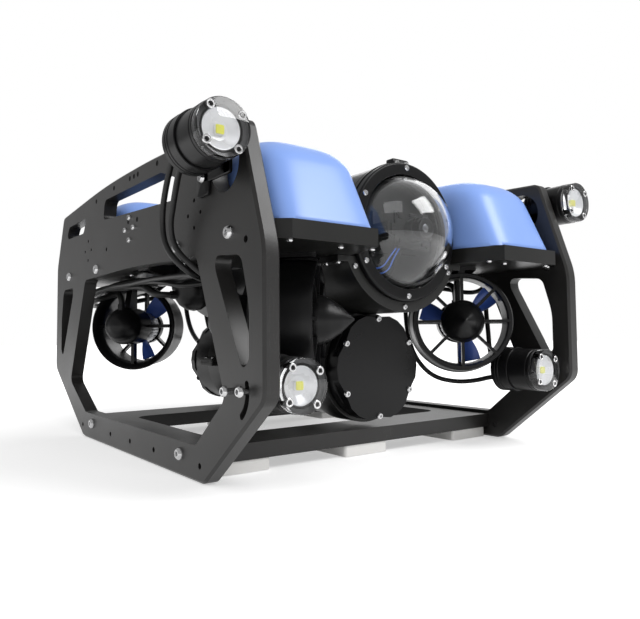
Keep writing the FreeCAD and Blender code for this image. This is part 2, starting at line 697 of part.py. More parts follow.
def camera_mount():
    """Fork on the tray's front disc with the tilt servo, and the camera that swings in it."""
    face = s.tube_bow_y + 4
    z = s.tube_z
    pivot = s.camera_pivot_y
    wall = s.fork_wall
    ear_in = s.camera_wide / 2 + s.seat_play
    arm_in = ear_in + wall + 2 * s.seat_play
    arm_out = arm_in + wall
    fork = Part.makeBox(2 * arm_out, wall, 34, Vector(-arm_out, face - wall, z - 17))
    for sign in (1, -1):
        x = min(sign * arm_in, sign * arm_out)
        arm = Part.makeBox(wall, face - pivot + 4, 12, Vector(x, pivot - 4, z - 6))
        fork = fork.fuse(arm)
    servo = Part.makeBox(6, wall + 9, 20, Vector(arm_out, face - wall - 9, z - 10))
    fork = fork.fuse(servo)
    bore = Part.makeCylinder(s.camera_pin_r + s.shaft_play, 2 * arm_out + 2,
                             Vector(-arm_out - 1, pivot, z), Vector(1, 0, 0))
    set_shape("camera_fork", fork.cut(bore).removeSplitter())
    plate = Part.makeBox(s.camera_wide, 2, 30, Vector(-s.camera_wide / 2, pivot - 6, z - 15))
    barrel = Part.makeCylinder(9.5, 8, Vector(0, pivot - 6, z), Vector(0, -1, 0))
    lens = Part.makeCylinder(7, 6, Vector(0, pivot - 14, z), Vector(0, -1, 0))
    pieces = [barrel, lens]
    for sign in (1, -1):
        x = min(sign * ear_in, sign * (ear_in + wall))
        pieces.append(Part.makeBox(wall, 8, 9, Vector(x, pivot - 4, z - 4.5)))
        bridge_x = min(sign * (ear_in - 4), sign * (ear_in + wall))
        pieces.append(Part.makeBox(wall + 4, 2, 9, Vector(bridge_x, pivot - 6, z - 4.5)))
        pin_x = min(sign * ear_in, sign * (arm_out + 0.5))
        pieces.append(Part.makeCylinder(s.camera_pin_r, arm_out + 0.5 - ear_in,
                                        Vector(pin_x, pivot, z), Vector(1, 0, 0)))
    set_shape("camera_module", plate.fuse(pieces).removeSplitter())


# ---- battery enclosure ----------------------------------------------------------------

def battery_cap(label, y, sign):
    """Cap with six lobes for its screws and a waist between them, plugged into the tube."""
    body = new_body(label)
    points = []
    for lobe in range(6):
        middle = 30 + 60 * lobe
        for turn, radius in ((-13, s.battery_cap_r), (0, s.battery_cap_r + 0.4),
                             (13, s.battery_cap_r), (24, s.battery_cap_waist + 2.4),
                             (36, s.battery_cap_waist + 2.4)):
            angle = math.radians(middle + turn)
            points.append((radius * math.cos(angle), radius * math.sin(angle), 4))
    new_pad(body, new_sketch(body, "XY_Plane", outline(points), -s.battery_cap_thick),
            "battery_cap_thick")
    plug = circle(0, 0, s.battery_bore_r - s.seat_play)
    new_pad(body, new_sketch(body, "XY_Plane", plug, -s.battery_cap_thick), "plug_long",
            reverse=True)
    if sign > 0:
        holes = []
        for x, v in ((14, 10), (14, -10)):
            holes += circle(x, v, s.gland_r * 0.75 + s.screw_play)
        new_pocket(body, new_sketch(body, "XY_Plane", holes), "cap_thick")
    body.Placement = along_y(0, y, s.battery_z, sign)


def battery_enclosure():
    back = s.battery_bow_y + s.battery_long
    tube_long = s.battery_long - 2 * s.battery_cap_thick
    tube_y = s.battery_bow_y + s.battery_cap_thick
    revolved("battery_tube", rectangle(s.battery_bore_r, 0, s.battery_r, tube_long),
             along_y(0, tube_y, s.battery_z, 1))
    battery_cap("battery_front_cap", s.battery_bow_y, -1)
    battery_cap("battery_rear_cap", back, 1)
    body = new_body("battery_pack")
    pack_r = s.battery_bore_r - s.seat_play
    side = pack_r * 0.82
    rest = math.sqrt(pack_r ** 2 - side ** 2)
    corners = [(-side, -rest), (side, -rest), (side, rest), (-side, rest)]
    edges = polygon(corners)
    room = 2 * s.plug_long
    sketch = new_sketch(body, "XY_Plane", edges)
    pad = body.newObject("PartDesign::Pad", "Pad")
    pad.Profile = sketch
    bind(pad, "Length", "battery_long - 2 * battery_cap_thick - 2 * plug_long - 6")
    doc.recompute()
    body.Placement = along_y(0, tube_y + room / 2 + 3, s.battery_z, 1)


# ---- thrusters ------------------------------------------------------------------------

def thruster_nozzle(label, placement):
    """Duct with its spokes and cone at +Z, and the motor base with its foot at -Z."""
    body = new_body(label)
    half = s.duct_long / 2
    bore = s.duct_bore_r
    duct = [(bore, -half + 11), (bore + 2.6, -half + 4), (s.duct_inlet_r - 2.2, -half),
            (s.duct_inlet_r - 0.4, -half + 1), (s.duct_inlet_r, -half + 3),
            (s.duct_inlet_r - 1.6, -half + 8), (s.duct_outlet_r + 0.6, half - 3),
            (s.duct_outlet_r - 0.6, half), (bore + 1.2, half), (bore, half - 4)]
    new_revolution(body, new_sketch(body, "XZ_Plane", polygon(duct)))
    spoke = rectangle(6, -s.spoke_wide / 2, bore + 1.6, s.spoke_wide / 2)
    lower = half - s.spoke_deep
    pad = new_pad(body, new_sketch(body, "XY_Plane", spoke, lower), "spoke_deep")
    new_pattern(body, [pad], "spoke_count")
    tip = half + s.cone_long
    cone = [(0, lower), (s.hub_r, lower), (s.hub_r, half - 1), (s.hub_r - 3.4, half + 8),
            (s.hub_r - 10, half + 17), (0.6, tip), (0, tip)]
    new_revolution(body, new_sketch(body, "XZ_Plane", polygon(cone)))
    strut = rectangle(6, -1.8, bore + 2.4, 1.8)
    struts = new_pad(body, new_sketch(body, "XY_Plane", strut, -half + 1), "spoke_deep")
    pattern = body.newObject("PartDesign::PolarPattern", "PolarPattern")
    pattern.Originals = [struts]
    pattern.Axis = (plane(body, "Z_Axis"), [""])
    pattern.Angle = 360.0
    pattern.Occurrences = 4
    body.Tip = pattern
    doc.recompute()
    face = -half + 1 + s.spoke_deep
    reach = -half - s.motor_reach
    motor = [(0, reach), (7, reach + 1.4), (13, reach + 5.5), (17.4, reach + 12),
             (s.motor_r, reach + 21), (s.motor_r, face - 2), (s.motor_r - 2, face),
             (s.bell_r - 3.6, face), (s.bell_r - 3.6, 4), (s.shaft_r, 4), (s.shaft_r, 9),
             (0, 9)]
    new_revolution(body, new_sketch(body, "XZ_Plane", polygon(motor)))
    outlet = circle(0, -half - s.outlet_back, s.outlet_r)
    new_pad(body, new_sketch(body, "YZ_Plane", outlet, s.motor_r / 2),
            "outlet_reach - motor_r / 2")
    arm = polygon([(8, -half - 14), (s.motor_r, -half - 14), (s.foot_reach - 4, -half - 6),
                   (s.foot_reach, -half - 6), (s.foot_reach, half - 1),
                   (s.duct_outlet_r, half - 1), (s.duct_inlet_r - 3, -half + 4),
                   (s.motor_r, -half + 6), (8, -half + 6)])
    sketch = new_sketch(body, "XZ_Plane", arm, -3)
    new_pad(body, sketch, "spoke_deep - 2")
    pad_plan = rectangle(-13, -half - 6, 13, half - 1, 3)
    foot = new_sketch(body, "YZ_Plane", pad_plan, s.foot_reach - s.foot_thick)
    new_pad(body, foot, "foot_thick")
    body.Placement = placement


def blade_section(radius, chord, pitch):
    """Thin cambered section of a blade, laid across the axis at its own pitch."""
    turn = math.radians(pitch)
    across = Vector(math.cos(turn), math.sin(turn), 0)
    up = Vector(-math.sin(turn), math.cos(turn), 0)
    start = across * (-chord / 2)
    end = across * (chord / 2)
    return [Part.Arc(start, up * 2.6, end), Part.Arc(end, up * 0.6, start)]


def propeller(label, placement, hand):
    """Blades on the motor's rotor bell, which turns on the shaft."""
    body = new_body(label)
    half = s.duct_long / 2
    back = -half + 1 + s.spoke_deep + 0.6
    front = half - s.spoke_deep - 2
    bore = s.shaft_r + s.shaft_play
    bell = [(bore, 5.5), (s.bell_r - 2.4, 5.5), (s.bell_r - 2.4, back), (s.bell_r, back),
            (s.bell_r, front - 1.5), (s.bell_r - 1.5, front), (bore, front)]
    new_revolution(body, new_sketch(body, "XZ_Plane", polygon(bell)))
    middle = (back + front) / 2 + 0.5
    loft = body.newObject("PartDesign::AdditiveLoft", "AdditiveLoft")
    sections = []
    root = s.bell_r - 1.2
    for share, chord, pitch in ((0.0, 0.72, 52), (0.45, 0.95, 36), (1.0, 1.0, 26)):
        radius = root + share * (s.blade_tip - root)
        edges = blade_section(radius, s.blade_chord * chord, hand * pitch)
        sketch = new_sketch(body, "YZ_Plane", edges, radius)
        sketch.AttachmentOffset = Placement(Vector(0, middle, radius), Rotation())
        sections.append(sketch)
    loft.Profile = sections[0]
    loft.Sections = sections[1:]
    loft.Ruled = False
    doc.recompute()
    new_pattern(body, [loft], "blade_count")
    body.Placement = placement


def thruster_places():
    """Name, duct centre, spoked direction, foot direction and hand of each thruster."""
    places = []
    foot_y = math.sin(math.radians(s.thruster_lean))
    foot_x = math.cos(math.radians(s.thruster_lean))
    level_z = s.plate_z - s.foot_reach
    for side, sign in SIDES:
        level_x = sign * (panel_in() - s.thruster_inset)
        places.append(("bow_" + side, (level_x, fore(s.thruster_bow_inset), level_z),
                       (-sign * foot_x, -foot_y, 0), (0, 0, 1), sign))
        places.append(("stern_" + side, (level_x, aft(s.thruster_stern_inset), level_z),
                       (-sign * foot_x, foot_y, 0), (0, 0, 1), -sign))
        lift_x = sign * (panel_in() - s.foot_reach)
        places.append(("lift_" + side, (lift_x, s.lift_y, s.lift_z), (0, 0, 1), (sign, 0, 0),
                       sign))
    return places


def thrusters():
    for name, centre, along, up, hand in thruster_places():
        placement = frame_of(centre, along, up)
        thruster_nozzle("thruster_nozzle_" + name, placement)
        propeller("propeller_" + name, placement, hand)


# ---- lights ---------------------------------------------------------------------------

def light(name, x, z):
    """Light along -Y: clear lens in front, body with a reflector cup, rear flange, two glands."""
    front = along_y(x, fore(s.lamp_inset), z)
    back = -s.light_long
    seat = -s.lens_thick
    body = new_body("light_housing_" + name)
    edges = polygon([
        (0, back), (s.light_flange_r, back), (s.light_flange_r, back + s.light_flange_thick),
        (s.light_r, back + s.light_flange_thick), (s.light_r, seat), (12, seat),
        (6.5, seat - 7), (0, seat - 7)])
    new_revolution(body, new_sketch(body, "XZ_Plane", edges))
    chip = rectangle(-3.4, -3.4, 3.4, 3.4)
    new_pad(body, new_sketch(body, "XY_Plane", chip, seat - 7), "chip_thick")
    for sign in (1, -1):
        spot = sign * s.gland_spread
        nut = new_sketch(body, "XY_Plane", circle(spot, 0, s.gland_r), back)
        new_pad(body, nut, "gland_long * 0.4", reverse=True)
        boot = new_sketch(body, "XY_Plane", circle(spot, 0, s.gland_r * 0.7),
                          back - s.gland_long * 0.4)
        new_pad(body, boot, "gland_long * 0.6", reverse=True)
    body.Placement = front
    lens = new_body("light_lens_" + name)
    new_revolution(lens, new_sketch(lens, "XZ_Plane", polygon([
        (0, seat), (s.lens_r, seat), (s.lens_r, -1), (s.lens_r - 1, 0), (0, 0)])))
    lens.Placement = front


def light_bracket(name, side, sign, low):
    """Sheet clamp round the light, with the tab that swings on the side panel."""
    x, z = lamp_place(sign, low)
    axis = Vector(0, 1, 0)
    back = fore(s.lamp_inset) + s.light_long - s.light_flange_thick
    low_y = fore(s.low_pivot_inset)
    top_y = fore(s.top_pivot_inset)
    wide = 12.0
    outer_r = s.light_r + s.seat_play + s.bracket_thick
    ring = Part.makeCylinder(outer_r, wide, Vector(x, back - wide, z), axis)
    play = s.bracket_play
    if low:
        face = panel_in() - play
        tab = Part.makeBox(s.bracket_thick, 34, 16,
                           Vector(min(sign * face, sign * (face - s.bracket_thick)),
                                  low_y - 27, s.low_pivot_z - 8))
        pieces = [tab]
        reach = s.frame_width / 2 - face + 5
        bolt_turn = math.radians(177)
        spots = [(low_y, s.low_pivot_z),
                 (low_y + s.low_bolt_reach * math.cos(bolt_turn),
                  s.low_pivot_z + s.low_bolt_reach * math.sin(bolt_turn))]
        for y, height in spots:
            start = Vector(sign * (face - s.bracket_thick / 2), y, height)
            pieces.append(Part.makeCylinder(s.bolt_r, reach + s.bracket_thick / 2, start,
                                            Vector(sign, 0, 0)))
            head = Vector(sign * (face + reach), y, height)
            pieces.append(Part.makeCylinder(s.bolt_r * 1.8, 2.4, head, Vector(sign, 0, 0)))
        solid = ring.fuse(pieces)
    else:
        face = s.frame_width / 2 + play
        low_x = min(sign * face, sign * (face + s.bracket_thick))
        arm = Part.makeBox(s.bracket_thick, top_y - back + wide, 10,
                           Vector(low_x, back - wide, s.top_pivot_z - 4))
        riser = Part.makeBox(s.bracket_thick, wide, 20,
                             Vector(low_x, back - wide, s.top_pivot_z - 4))
        tab = Part.makeBox(s.bracket_thick, 18, 22,
                           Vector(low_x, top_y - 9, s.top_pivot_z - 13))
        beyond = Part.makeBox(100, 100, 100, Vector(face if sign > 0 else -face - 100,
                                                    back - 60, z - 50))
        solid = ring.common(beyond).fuse([arm, riser, tab])
        solid = solid.cut(Part.makeCylinder(s.bolt_r + s.shaft_play, 40,
                                            Vector(sign * face - 20, top_y, s.top_pivot_z),
                                            Vector(1, 0, 0)))
    inside = Part.makeCylinder(s.light_r + s.seat_play, 80, Vector(x, back - 60, z), axis)
    set_shape("light_bracket_" + name, solid.cut(inside).removeSplitter())


def lamp_place(sign, low):
    if low:
        return sign * (panel_in() - s.lamp_low_inset), s.lamp_low_z
    return sign * (s.frame_width / 2 + s.lamp_top_reach), s.lamp_top_z


def lights():
    for side, sign in SIDES:
        for place, low in (("top_", False), ("low_", True)):
            light(place + side, *lamp_place(sign, low))
            light_bracket(place + side, side, sign, low)


# ---- cables ---------------------------------------------------------------------------

# Corners of each cable's route between its two ends, for the port side.
ROUTES = {
    "top_light": [
        (188, -142, 230), (185, -122, 211), (183, -110, 190), (181.3, -112.2, 168),
        (173, -124.7, 152.4), (159.8, -123.6, 145.5), (149.9, -112.4, 146.1), (148, -88, 152),
        (149.5, -45, 153), (148.4, -0, 154.3), (149.4, 45, 153), (149.4, 90, 154.4),
        (151.3, 134.9, 153.3), (148.2, 172, 149), (143, 203, 146), (122, 217, 148),
        (91.9, 214.5, 154.5), (61.6, 212.8, 155.9), (35.8, 205.5, 150.6), (18.9, 194, 142),
        (3.5, 178.5, 143.3)],
    "light_link": [
        (187, -147, 213), (183, -131, 198), (181, -120, 181), (177, -122, 165), (167, -132, 152),
        (157, -138, 143), (152, -141, 126), (151, -144, 106), (150.6, -145.7, 83.4),
        (142, -159.5, 71.8)],
    "low_light": [
        (131, -144, 57), (122, -126, 55), (108, -108, 60), (97, -96, 78), (93, -90, 100),
        (94, -86, 122), (102, -78, 141), (117.9, -64, 148.9), (136.2, -44.7, 145.6),
        (142.8, -15.1, 151.7), (143.1, 29.9, 154.4), (143.2, 80, 153.3), (144.6, 130.1, 154.1),
        (143.1, 168, 149.9), (135, 196, 151), (114, 208, 153.1), (86.9, 207.2, 159.1),
        (60.6, 210.9, 159.6), (45.3, 207.7, 181.5), (32, 203, 203), (22.5, 190, 215)],
    "bow": [
        (133, -112.9, 153.7), (133.7, -95.8, 156.7), (134.7, -62.9, 154.1), (133.7, -15, 150.7),
        (134.4, 31.8, 156.6), (133, 80, 159.7), (133.4, 125, 158.9), (132.4, 160.1, 157.2),
        (125, 186, 155), (106, 196, 156), (83.6, 196.1, 156), (61.8, 198.2, 154.5),
        (44.1, 193.1, 171.5), (35, 180, 176)],
    "lift": [
        (143.9, -0.6, 141.1), (141.1, 17, 145.7), (136.3, 38, 150.9), (137.1, 70, 152.6),
        (137.2, 104.9, 153.2), (138.6, 137.3, 154.7), (136.9, 166.5, 151.6), (129.7, 191.7, 148),
        (110, 203, 149.5), (83.8, 203.4, 152.4), (58.9, 204.3, 160.9), (45.9, 200.1, 179.7),
        (36, 188, 195)],
    "stern": [
        (133.3, 119.5, 149.1), (137.8, 135.6, 146.8), (143.8, 158, 144.2), (143.1, 183, 140),
        (131, 205, 139), (106, 214, 142), (80, 211, 146), (57, 206, 151), (36, 196, 154),
        (23, 180, 157)],
    "battery_upper": [
        (11, 170, 95), (11.5, 188, 113), (9, 193, 136), (5, 188.2, 160.2), (1.2, 174, 171.3)],
    "battery_lower": [
        (-11, 172, 94), (-12, 194, 111), (-13, 205, 137), (-13, 206, 163), (-9, 198, 187),
        (-2, 182, 199.5)],
    "top_light_starboard": [
        (188, -142, 230), (185, -122, 211), (183, -110, 190), (181.3, -112.2, 168),
        (173, -124.7, 152.4), (159.8, -123.6, 145.5), (149.9, -112.4, 146.1), (148, -88, 152),
        (149.5, -45, 153), (148.4, -0, 154.3), (149.4, 45, 153), (149.4, 90, 154.4),
        (151.3, 134.9, 153.3), (148.2, 172, 149), (143, 203, 146), (122, 217, 148),
        (91.9, 214.5, 154.5), (63, 215.5, 157.5), (43, 219, 176), (24, 215, 202),
        (7, 203, 219.5), (1, 184, 223)]}


def cable(label, radius, corners, start, end):
    """Round cable along straight runs that tangent arcs join; prints the arcs' radii.

    start and end are (place, direction away from its gland, straight lead) of the two ends.
    """
    points = [start[0], start[0] + start[1] * start[2]] + corners
    points += [end[0] + end[1] * end[2], end[0]]
    edges = []
    radii = []
    last = points[0]
    for before, here, after in zip(points, points[1:], points[2:]):
        back = before - here
        ahead = after - here
        cut = 0.45 * min(back.Length, ahead.Length)
        back.normalize()
        ahead.normalize()
        half = back.getAngle(ahead) / 2
        radius_here = cut * math.tan(half)
        centre = here + (back + ahead).normalize() * (cut / math.cos(half))
        middle = centre + (here - centre).normalize() * radius_here
        begin = here + back * cut
        edges.append(Part.LineSegment(last, begin).toShape())
        last = here + ahead * cut
        edges.append(Part.Arc(begin, middle, last).toShape())
        radii.append(round(radius_here, 1))
    edges.append(Part.LineSegment(last, points[-1]).toShape())
    spine = Part.Wire(edges)
    ring = Part.Wire(Part.Circle(points[0], start[1], radius).toShape())
    tube = spine.makePipeShell([ring], True, False)
    share = tube.Volume / (math.pi * radius ** 2 * spine.Length)
    print(label, "length", round(spine.Length, 1), "volume share", round(share, 4), radii)
    return tube


def mirrored(corners, sign):
    return [Vector(sign * x, y, z) for x, y, z in corners]


def cap_end(index, sign, lead):
    """End of a cable at one gland of the rear end cap, counted from the top to port."""
    x, y = penetrator_spots()[index]
    back = tube_end() + s.flange_thick + s.cap_thick + s.gland_long
    return Vector(sign * y, back, s.tube_z + x), Vector(0, 1, 0), lead


def lamp_end(sign, low, row, lead):
    """End of a cable at one of a light's two glands: row 1 is the upper, -1 the lower."""
    x, z = lamp_place(sign, low)
    back = fore(s.lamp_inset) + s.light_long + s.gland_long
    return Vector(x, back, z + row * s.gland_spread), Vector(0, 1, 0), lead


def outlet_ends():
    """The cable boss of each thruster: its face and the direction it points in."""
    ends = {}
    for name, centre, along, up, hand in thruster_places():
        away = Vector(*up)
        place = Vector(*centre) - Vector(*along) * (s.duct_long / 2 + s.outlet_back)
        ends[name] = (place + away * s.outlet_reach, away)
    return ends


def cables():
    outlets = outlet_ends()
    thin = s.light_cable_r
    thick = s.thruster_cable_r
    for side, sign in SIDES:
        top = "top_light" if sign > 0 else "top_light_starboard"
        last = 5 if sign > 0 else 0
        group = [
            cable(top, thin, mirrored(ROUTES[top], sign), lamp_end(sign, False, 1, 14),
                  cap_end(last, sign, 16.4)),
            cable("light_link", thin, mirrored(ROUTES["light_link"], sign),
                  lamp_end(sign, False, -1, 13), lamp_end(sign, True, 1, 7))]
        set_shape("light_cable_top_" + side, Part.makeCompound(group))
        low = cable("low_light", thin, mirrored(ROUTES["low_light"], sign),
                    lamp_end(sign, True, -1, 12), cap_end(1, sign, 18.4))
        set_shape("light_cable_low_" + side, low)
        group = []
        for route, spot, lead, end_lead in (("bow", 3, 9.4, 15.4), ("lift", 2, 7.3, 17.4),
                                            ("stern", 4, 6.4, 15.4)):
            start = outlets[route + "_" + side] + (lead,)
            group.append(cable(route, thick, mirrored(ROUTES[route], sign), start,
                               cap_end(spot, sign, end_lead)))
        set_shape("thruster_cables_" + side, Part.makeCompound(group))
    group = []
    back = s.battery_bow_y + s.battery_long + s.gland_long
    for route, x, lead, spot, end_lead in (("battery_upper", 10, 14.1, 11, 11.4),
                                           ("battery_lower", -10, 15.1, 10, 15.4)):
        start = (Vector(x, back, s.battery_z + 14), Vector(0, 1, 0), lead)
        group.append(cable(route, thick, mirrored(ROUTES[route], 1), start,
                           cap_end(spot, 1, end_lead)))
    set_shape("battery_cables", Part.makeCompound(group))


# ---- the document ---------------------------------------------------------------------

def build():
    for side, sign in SIDES:
        side_panel(side, sign)
        for end, end_sign in ENDS:
            center_plate(end, end_sign, side, sign)
            fairing(end, end_sign, side, sign)
    bottom_panel()
    ballast_weights()
    frame_screws()
    electronics_enclosure()
    cable_penetrators()
    tube_cradles()
    battery_straps()
    electronics_tray()
    camera_mount()
    battery_enclosure()
    thrusters()
    lights()
    cables()


def check_and_write():
    doc.recompute()
    for thing in doc.Objects:
        if "Invalid" in thing.State or "Error" in thing.State:
            raise RuntimeError("failed: %s %s" % (thing.Label, thing.State))
    os.makedirs("parts", exist_ok=True)
    for piece in EXPORT:
        shape = piece.Shape
        if shape.isNull() or not shape.isValid():
            raise RuntimeError("bad shape: " + piece.Label)
        shape.exportStep("parts/%s.step" % piece.Label)
        print(piece.Label, len(shape.Solids), round(shape.Volume, 1))


build()
check_and_write()
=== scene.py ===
import json
import math

import bmesh
import bpy
import numpy as np
from mathutils import Matrix, Vector


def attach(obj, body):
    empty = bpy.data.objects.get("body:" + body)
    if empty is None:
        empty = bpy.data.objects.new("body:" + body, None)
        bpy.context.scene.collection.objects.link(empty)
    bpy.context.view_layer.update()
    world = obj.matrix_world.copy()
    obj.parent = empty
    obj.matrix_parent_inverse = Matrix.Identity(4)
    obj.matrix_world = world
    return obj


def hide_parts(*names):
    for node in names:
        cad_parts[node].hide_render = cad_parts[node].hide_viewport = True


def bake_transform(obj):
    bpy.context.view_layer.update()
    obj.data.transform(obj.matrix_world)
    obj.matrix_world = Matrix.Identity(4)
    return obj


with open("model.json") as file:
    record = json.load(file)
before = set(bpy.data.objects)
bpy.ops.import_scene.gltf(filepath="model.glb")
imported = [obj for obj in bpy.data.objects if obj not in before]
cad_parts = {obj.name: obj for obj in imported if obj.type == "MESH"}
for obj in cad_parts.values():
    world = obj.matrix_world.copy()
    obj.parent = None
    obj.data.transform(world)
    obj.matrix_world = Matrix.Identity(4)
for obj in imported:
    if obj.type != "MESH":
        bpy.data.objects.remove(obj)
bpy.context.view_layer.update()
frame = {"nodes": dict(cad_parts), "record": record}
print("frame loaded")


# An empty shader group with its sockets, and its input and output nodes
def newGroup(name, inputs, outputs):
    group = bpy.data.node_groups.new(name, "ShaderNodeTree")
    for label, value in inputs:
        socket = group.interface.new_socket(label, in_out="INPUT", socket_type="NodeSocketFloat")
        socket.default_value = value
    for label in outputs:
        group.interface.new_socket(label, in_out="OUTPUT", socket_type="NodeSocketFloat")
    return group, group.nodes.new("NodeGroupInput"), group.nodes.new("NodeGroupOutput")


# One sum of two values, each a number or another node's output
def mathNode(tree, operation, first, second, clamp=False):
    node = tree.nodes.new("ShaderNodeMath")
    node.operation = operation
    node.use_clamp = clamp
    for socket, value in zip(node.inputs, (first, second)):
        if isinstance(value, (int, float)):
            socket.default_value = value
        else:
            tree.links.new(value, socket)
    return node.outputs[0]


# Noise on coordinates that are stretched first
def noiseNode(tree, coordinates, scale, detail, stretch=(1, 1, 1)):
    mapping = tree.nodes.new("ShaderNodeMapping")
    mapping.inputs["Scale"].default_value = stretch
    tree.links.new(coordinates, mapping.inputs["Vector"])
    noise = tree.nodes.new("ShaderNodeTexNoise")
    noise.inputs["Detail"].default_value = detail
    if isinstance(scale, (int, float)):
        noise.inputs["Scale"].default_value = scale
    else:
        tree.links.new(scale, noise.inputs["Scale"])
    tree.links.new(mapping.outputs[0], noise.inputs["Vector"])
    return noise.outputs["Fac"]


# Fine grain of moulded or cut plastic: a height, and slow smudges for roughness
def makeGrainGroup():
    group, given, put = newGroup("surfaceGrain", [("Grain Scale", 900.0), ("Smudge Scale", 25.0)],
                                 ["Height", "Smudge"])
    place = group.nodes.new("ShaderNodeTexCoord").outputs["Object"]
    fine = noiseNode(group, place, given.outputs["Grain Scale"], 3)
    slow = noiseNode(group, place, given.outputs["Smudge Scale"], 4)
    group.links.new(fine, put.inputs["Height"])
    group.links.new(slow, put.inputs["Smudge"])
    return group


# Sparse fine scratches: two stretched noises, each cut to thin crests, only in patches
def makeScuffGroup():
    group, given, put = newGroup("fineScuffs", [("Density", 0.5)], ["Scuff"])
    place = group.nodes.new("ShaderNodeTexCoord").outputs["Object"]
    crests = []
    for stretch in ((1.0, 9.0, 60.0), (8.0, 55.0, 1.0)):
        lines = noiseNode(group, place, 38.0, 2, stretch)
        away = mathNode(group, "ABSOLUTE", mathNode(group, "SUBTRACT", lines, 0.5), 0)
        crests.append(mathNode(group, "SUBTRACT", 1.0, mathNode(group, "MULTIPLY", away, 60.0),
                               True))
    patch = noiseNode(group, place, 14.0, 3)
    patch = mathNode(group, "SUBTRACT", patch, mathNode(group, "SUBTRACT", 1.0,
                                                        given.outputs["Density"]), True)
    both = mathNode(group, "MAXIMUM", crests[0], crests[1])
    group.links.new(mathNode(group, "MULTIPLY", both, mathNode(group, "MULTIPLY", patch, 3.0,
                                                               True)), put.inputs["Scuff"])
    return group


# Turned metal: fine rings about the Y axis
def makeTurnedGroup():
    group, given, put = newGroup("turnedRings", [("Ring Scale", 2500.0)], ["Height"])
    place = group.nodes.new("ShaderNodeTexCoord").outputs["Object"]
    rings = noiseNode(group, place, given.outputs["Ring Scale"], 2, (0.02, 1.0, 0.02))
    group.links.new(rings, put.inputs["Height"])
    return group


# A trace of dust where a surface faces up, broken by noise
def makeDustGroup():
    group, given, put = newGroup("upwardDust", [("Amount", 0.3)], ["Dust"])
    normal = group.nodes.new("ShaderNodeNewGeometry").outputs["Normal"]
    split = group.nodes.new("ShaderNodeSeparateXYZ")
    group.links.new(normal, split.inputs[0])
    place = group.nodes.new("ShaderNodeTexCoord").outputs["Object"]
    facing = mathNode(group, "POWER", mathNode(group, "MAXIMUM", split.outputs[2], 0.0), 3.0)
    broken = noiseNode(group, place, 180.0, 5)
    dust = mathNode(group, "MULTIPLY", facing, broken)
    group.links.new(mathNode(group, "MULTIPLY", dust, given.outputs["Amount"], True),
                    put.inputs["Dust"])
    return group


effects = {"grain": makeGrainGroup(), "scuff": makeScuffGroup(), "turned": makeTurnedGroup(),
           "dust": makeDustGroup()}


# Places a shared effect in a material with its own values
def useEffect(tree, key, values):
    node = tree.nodes.new("ShaderNodeGroup")
    node.node_tree = effects[key]
    for label, value in values.items():
        node.inputs[label].default_value = value
    return node


# Two colours mixed by a mask
def mixColor(tree, factor, first, second):
    node = tree.nodes.new("ShaderNodeMix")
    node.data_type = "RGBA"
    tree.links.new(factor, node.inputs["Factor"])
    for label, value in (("A", first), ("B", second)):
        socket = [s for s in node.inputs if s.name == label and s.type == "RGBA"][0]
        if isinstance(value, tuple):
            socket.default_value = (*value, 1)
        else:
            tree.links.new(value, socket)
    return [s for s in node.outputs if s.type == "RGBA"][0]


# Opaque finish: colour with smudges, scuffs and dust, grain as a bump, varied roughness
def makeMaterial(name, look):
    material = bpy.data.materials.new(name)
    material.use_nodes = True
    tree = material.node_tree
    shader = tree.nodes["Principled BSDF"]
    grain = useEffect(tree, "grain", {"Grain Scale": look.get("grainScale", 900.0),
                                      "Smudge Scale": look.get("smudgeScale", 25.0)})
    low, high = look["roughness"]
    spread = mathNode(tree, "MULTIPLY_ADD", grain.outputs["Smudge"], high - low)
    spread.node.inputs[2].default_value = low
    tree.links.new(spread, shader.inputs["Roughness"])
    color = mixColor(tree, grain.outputs["Smudge"], look["color"],
                     look.get("color2", look["color"]))
    scuff = useEffect(tree, "scuff", {"Density": look.get("scuffs", 0.4)})
    color = mixColor(tree, scuff.outputs["Scuff"], color, look.get("scuffColor", look["color"]))
    dust = useEffect(tree, "dust", {"Amount": look.get("dust", 0.1)})
    color = mixColor(tree, dust.outputs["Dust"], color, (0.55, 0.55, 0.53))
    tree.links.new(color, shader.inputs["Base Color"])
    for socket, key, usual in (("Metallic", "metallic", 0.0), ("Coat Weight", "coat", 0.0),
                               ("Specular IOR Level", "specular", 0.5),
                               ("Coat Roughness", "coatRoughness", 0.1)):
        shader.inputs[socket].default_value = look.get(key, usual)
    height = grain.outputs["Height"]
    if "turned" in look:
        rings = useEffect(tree, "turned", {"Ring Scale": look["turned"]})
        height = rings.outputs["Height"]
    bump = tree.nodes.new("ShaderNodeBump")
    bump.inputs["Strength"].default_value = look.get("bump", 0.15)
    bump.inputs["Distance"].default_value = look.get("bumpDepth", 0.0002)
    tree.links.new(height, bump.inputs["Height"])
    tree.links.new(bump.outputs[0], shader.inputs["Normal"])
    return material


